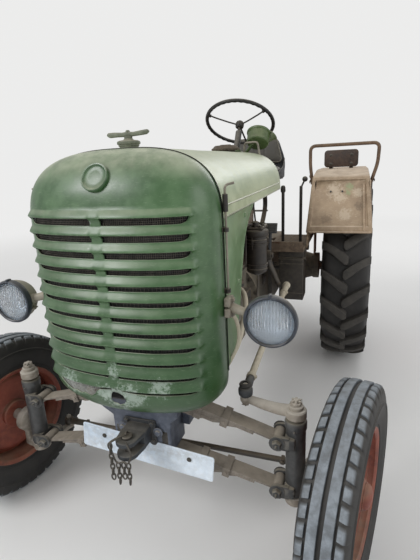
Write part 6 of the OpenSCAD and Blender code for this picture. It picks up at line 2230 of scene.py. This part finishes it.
class TRACTOR_OT_seat(BuildStep):
    """Curved seat springs, steel pan, and padded cushion and back with sewn seams"""
    bl_idname = "tractor.seat"
    bl_label = "Driver's seat"

    # The padding: its cells in metres, its air pressure, its frames and its cover's stiffness.
    cell, pressure, frames, stiffness = 0.006, 4, 20, 20

    def cushion(self, name, corners, thick, place, cap, seams):
        """A padded piece from a slab whose outline is given, swollen by cloth simulation."""
        bm = new_bm()
        rounded_slab(bm, corners, 46, 5, thick)
        round_edges(bm, bm.verts[:], thick * 0.3, 3, 50)
        settle(bm, place)
        shift(bm, PLACE)
        pad = solid(name, bm)
        remesh = pad.modifiers.new("Even skin", "REMESH")
        remesh.mode = "VOXEL"
        remesh.voxel_size = self.cell
        self.bake(pad)
        rest = [v.co.copy() for v in pad.data.vertices]
        cloth = pad.modifiers.new("Padding", "CLOTH")
        cloth.settings.use_pressure = True
        cloth.settings.uniform_pressure_force = self.pressure
        cloth.settings.tension_stiffness = self.stiffness
        cloth.settings.compression_stiffness = self.stiffness
        cloth.settings.effector_weights.gravity = 0
        for step in range(1, self.frames + 1):
            bpy.context.scene.frame_set(step)
        self.bake(pad)
        bpy.context.scene.frame_set(1)
        inverse = (PLACE @ place).inverted()
        reach = cap / 1000
        for v, was in zip(pad.data.vertices, rest):
            grown = v.co - was
            if grown.length > reach:
                v.co = was + grown * (reach / grown.length)
            local = inverse @ v.co
            dip = sum(3.4 * math.exp(-((local.x - x) / 5.5) ** 2) for x in seams)
            side = 1 if local.z > thick / 2 else 0
            v.co -= (PLACE @ place).to_3x3() @ Vector((0, 0, dip * side))
        for poly in pad.data.polygons:
            poly.use_smooth = True
        soft = pad.modifiers.new("Smooth cover", "SUBSURF")
        soft.levels = soft.render_levels = 1
        pad.data.materials.append(finishes("seat_cover"))
        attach(pad, "chassis")
        return pad

    def bake(self, item):
        """Applies what the modifiers give, so that none is left."""
        graph = bpy.context.evaluated_depsgraph_get()
        done = bpy.data.meshes.new_from_object(item.evaluated_get(graph))
        item.modifiers.clear()
        item.data = done

    def on_cover(self, pad, points):
        """The points moved on to a pad's surface."""
        back = PLACE.inverted()
        found = [pad.closest_point_on_mesh(PLACE @ Vector(p)) for p in points]
        return [back @ (hit[1] + hit[2] * 0.001) for hit in found]

    def build(self, sizes):
        low = Matrix.Translation((0, 1700, 1272)) @ spun(4, "X")
        base = self.cushion("seat_pad", [(-196, -128), (196, -128), (206, 150), (-206, 150)], 42,
                            low, 14, (-104, -35, 35, 104))
        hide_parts("driver_seat")
        lean = Matrix.Translation((0, 1888, 1345)) @ spun(80, "X")
        rest = self.cushion("back_pad", [(-206, 0), (206, 0), (164, 190), (-164, 190)], 32, lean, 13,
                     (-70, 0, 70))
        bm = new_bm()
        block(bm, (-204, 1568, 1242), (204, 1868, 1266), 10, 3)
        back = Matrix.Translation((0, 1906, 1330)) @ spun(80, "X")
        outline = rounded_path([(0, -66, 0), (206, -66, 0), (210, 40, 0), (150, 204, 0),
                                (-150, 204, 0), (-210, 40, 0), (-206, -66, 0), (0, -66, 0)], 48)
        slab(bm, [(p[0], p[1]) for p in outline[:-1]], back, 9, 4, 2)
        for s in (1, -1):
            cheek = rounded_path([(1700, 1252, 0), (1896, 1252, 0), (1912, 1396, 0),
                                  (1856, 1330, 0), (1612, 1290, 0), (1596, 1256, 0),
                                  (1700, 1252, 0)], 22)
            slab(bm, [(p[0], p[1]) for p in cheek[:-1]], lengthwise(s * 200, s), 6, 2)
        face_out(bm)
        finish_piece("seat_pan", bm, "jaw_grey")
        bm = new_bm()
        bpy.context.view_layer.update()
        for pad, at, corners in (
                (base, low, ((0, -128), (196, -128), (206, 150), (-206, 150), (-196, -128))),
                (rest, lean, ((0, 2), (206, 2), (164, 190), (-164, 190), (-206, 2)))):
            edge = rounded_path([(x, y, 40) for x, y in corners + corners[:1]], 44)
            even = [edge[0].copy()]
            for p in edge[1:]:
                steps = max(1, int((p - even[-1]).length / 12))
                even += [even[-1].lerp(p, k / steps) for k in range(1, steps)] + [p]
            sweep(bm, self.on_cover(pad, [at @ p for p in even]), 2.6, 8)
        piping = finish_piece("seat_piping", bm, "seat_piping")
        bm = new_bm()
        for x in (-50, 50):
            path = softened([(x, 1570, 836), (x, 1640, 838), (x, 1800, 900), (x, 1930, 1000),
                             (x, 1962, 1070), (x, 1930, 1140), (x, 1850, 1205), (x, 1780, 1231),
                             (x, 1720, 1236)], 8)
            before = set(bm.verts)
            sweep(bm, path, 6.4, 4)
            for v in bm.verts:
                if v not in before:
                    v.co.x = x + (v.co.x - x) * 3.6
            bolt(bm, (x, 1600, 843), (0, 0, 1), 17, 9)
        block(bm, (-92, 1698, 1226), (92, 1862, 1238), 3)
        block(bm, (-70, 1930, 1000), (70, 1970, 1010), 2)
        bolts(bm, (-70, 70), (1720, 1840), (1226,), (0, 0, -1), 13, 7)
        finish_piece("seat_leaf_springs", bm, "oily_grey", "seat_spring")


# Floor, lights and camera

BACKDROP = (0.84, 0.84, 0.835, 1)
# Where the floor starts to fade into the backdrop and where it ends, in metres.
FLOOR_FADE = (2.6, 9.0)
# The photograph's camera: its place in metres, its sideways and backward axes, its lens in mm.
CAMERA_AT = (0.6774, -2.2052, 1.3677)
CAMERA_RIGHT, CAMERA_BACK = (0.9459, 0.3212, -0.0461), (0.3212, -0.9065, 0.2738)
CAMERA_LENS = 26.196


class TRACTOR_OT_stage(BuildStep):
    """Plain pale floor, soft studio light and the photograph's camera"""
    bl_idname = "tractor.stage"
    bl_label = "Stage"

    def build(self, sizes):
        scene = bpy.context.scene
        bm = new_bm()
        bmesh.ops.create_circle(bm, cap_ends=True, segments=96, radius=60,
                                matrix=Matrix.Translation((0, 0, -0.0005)))
        floor = solid("floor", bm)
        mat, tree, shader = new_finish("studio_floor")
        tint = mixed(tree, grain(tree, spot(tree), 1.5), colour(236, 236, 235), colour(242, 242, 241))
        tree.links.new(tint, shader.inputs["Base Color"])
        shader.inputs["Roughness"].default_value = 0.85
        # The floor turns into the backdrop's plain tone well away from the tractor.
        away = put(tree, "ShaderNodeVectorMath", {"operation": "LENGTH"})
        tree.links.new(spot(tree), away.inputs[0])
        plain = put(tree, "ShaderNodeEmission", Color=BACKDROP, Strength=1.0)
        blend = put(tree, "ShaderNodeMixShader")
        tree.links.new(between(tree, away.outputs["Value"], *FLOOR_FADE), blend.inputs[0])
        tree.links.new(shader.outputs[0], blend.inputs[1])
        tree.links.new(plain.outputs[0], blend.inputs[2])
        tree.links.new(blend.outputs[0], tree.nodes["Material Output"].inputs["Surface"])
        floor.data.materials.append(mat)

        world = bpy.data.worlds.new("studio")
        world.use_nodes = True
        scene.world = world
        tree = world.node_tree
        soft = tree.nodes["Background"]
        soft.inputs["Color"].default_value = (1, 1, 1, 1)
        soft.inputs["Strength"].default_value = sizes.fill_light
        seen = put(tree, "ShaderNodeBackground", Color=BACKDROP, Strength=1.0)
        ray = put(tree, "ShaderNodeLightPath").outputs
        share = calc(tree, "MAXIMUM", ray["Is Camera Ray"], ray["Is Transmission Ray"])
        choice = put(tree, "ShaderNodeMixShader")
        tree.links.new(share, choice.inputs[0])
        tree.links.new(soft.outputs[0], choice.inputs[1])
        tree.links.new(seen.outputs[0], choice.inputs[2])
        tree.links.new(choice.outputs[0], tree.nodes["World Output"].inputs[0])

        for name, place, aim, size, power in (
                ("key", (-3.6, -5.4, 5.2), (0, -0.6, 0.7), 3.2, sizes.key_light),
                ("side", (5.6, -2.0, 3.2), (0, 0, 0.7), 4.0, sizes.key_light * 0.3),
                ("back", (1.5, 6.5, 4.5), (0, 0, 0.9), 4.0, sizes.key_light * 0.4)):
            lamp = bpy.data.lights.new(name, "AREA")
            lamp.shape = "DISK"
            lamp.size = size
            lamp.energy = power
            lit = linked(name, lamp)
            lit.location = place
            lit.rotation_euler = (Vector(aim) - Vector(place)).to_track_quat("-Z", "Y").to_euler()

        camera = bpy.data.cameras.new("camera")
        camera.lens = CAMERA_LENS
        camera.sensor_width = 36
        camera.sensor_fit = "AUTO"
        camera.clip_end = 200
        eye = linked("camera", camera)
        back = Vector(CAMERA_BACK).normalized()
        up = back.cross(Vector(CAMERA_RIGHT).normalized()).normalized()
        right = up.cross(back)
        turn = Matrix((right, up, back)).transposed().to_4x4()
        eye.matrix_world = Matrix.Translation(CAMERA_AT) @ turn
        scene.camera = eye
        scene.view_settings.view_transform = "Standard"


STEPS = (
    TRACTOR_OT_nose, TRACTOR_OT_bonnet, TRACTOR_OT_bonnet_fittings, TRACTOR_OT_front_tyres,
    TRACTOR_OT_rear_tyres, TRACTOR_OT_wheels, TRACTOR_OT_fenders, TRACTOR_OT_springs,
    TRACTOR_OT_bolster, TRACTOR_OT_kingpins, TRACTOR_OT_knuckles, TRACTOR_OT_linkage,
    TRACTOR_OT_towing, TRACTOR_OT_headlights, TRACTOR_OT_engine, TRACTOR_OT_drivetrain,
    TRACTOR_OT_platform, TRACTOR_OT_controls, TRACTOR_OT_steering_wheel,
    TRACTOR_OT_instruments, TRACTOR_OT_seat,
    TRACTOR_OT_stage,
)


class TractorSizes(bpy.types.PropertyGroup):
    """Sizes and light that a user would change"""
    lip_out: FloatProperty(name="Louvre height", default=0.012, min=0.006, max=0.013,
                           subtype="DISTANCE", unit="LENGTH",
                           description="How far a louvre's hood stands out of the nose")
    rim_wire: FloatProperty(name="Steering rim", default=0.011, min=0.009, max=0.012,
                            subtype="DISTANCE", unit="LENGTH",
                            description="Radius of the steering wheel's rim")
    key_light: FloatProperty(name="Key light", default=260.0, min=0.0, subtype="POWER",
                             unit="POWER", description="Power of the large soft key lamp")
    fill_light: FloatProperty(name="Fill light", default=0.55, min=0.0,
                              description="Strength of the even light from all round")


def paint(name, shade, description):
    """A colour that the user can change."""
    return FloatVectorProperty(name=name, subtype="COLOR", size=3, min=0, max=1,
                               default=colour(*shade)[:3], description=description)


class TractorFinish(bpy.types.PropertyGroup):
    """Main paint colours"""
    bonnet_colour: paint("Nose green", (66, 98, 60), "Paint of the nose and its badge")
    fender_colour: paint("Fender primer", (170, 147, 121), "Worn primer of the fenders")
    wheel_colour: paint("Wheel red", (132, 64, 48), "Faded paint of the wheel discs")


class TRACTOR_PT_panel(bpy.types.Panel):
    """Lists the steps and the sizes in the 3D view's sidebar"""
    bl_label = "Vintage tractor"
    bl_idname = "TRACTOR_PT_panel"
    bl_space_type = "VIEW_3D"
    bl_region_type = "UI"
    bl_category = "Tractor"

    def draw(self, context):
        for group in (context.scene.tractor_sizes, context.scene.tractor_finish):
            for key in group.__annotations__:
                self.layout.prop(group, key)
        for step in STEPS:
            self.layout.operator(step.bl_idname)


CLASSES = (TractorSizes, TractorFinish) + STEPS + (TRACTOR_PT_panel,)


def register():
    for item in CLASSES:
        bpy.utils.register_class(item)
    bpy.types.Scene.tractor_sizes = PointerProperty(type=TractorSizes)
    bpy.types.Scene.tractor_finish = PointerProperty(type=TractorFinish)


def unregister():
    del bpy.types.Scene.tractor_finish
    del bpy.types.Scene.tractor_sizes
    for item in reversed(CLASSES):
        bpy.utils.unregister_class(item)


# CAD solids whose shape is kept, each with its finish.
KEPT = {
    "radiator": "radiator_black", "fan_drive": "fan_grey", "engine_block": "cast_grey",
    "engine_covers": "finned_iron", "transmission": "cast_grey", "rear_axle": "cast_grey",
    "steering_box": "tube_grey", "drawbar": "oily_grey",
}


def dress_kept_nodes():
    for name, finish in KEPT.items():
        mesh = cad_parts[name].data
        mesh.materials.clear()
        mesh.materials.append(finishes(finish))


def main():
    register()
    for step in STEPS:
        group, action = step.bl_idname.split(".")
        getattr(getattr(bpy.ops, group), action)()
    dress_kept_nodes()


if __name__ == "__main__":
    main()
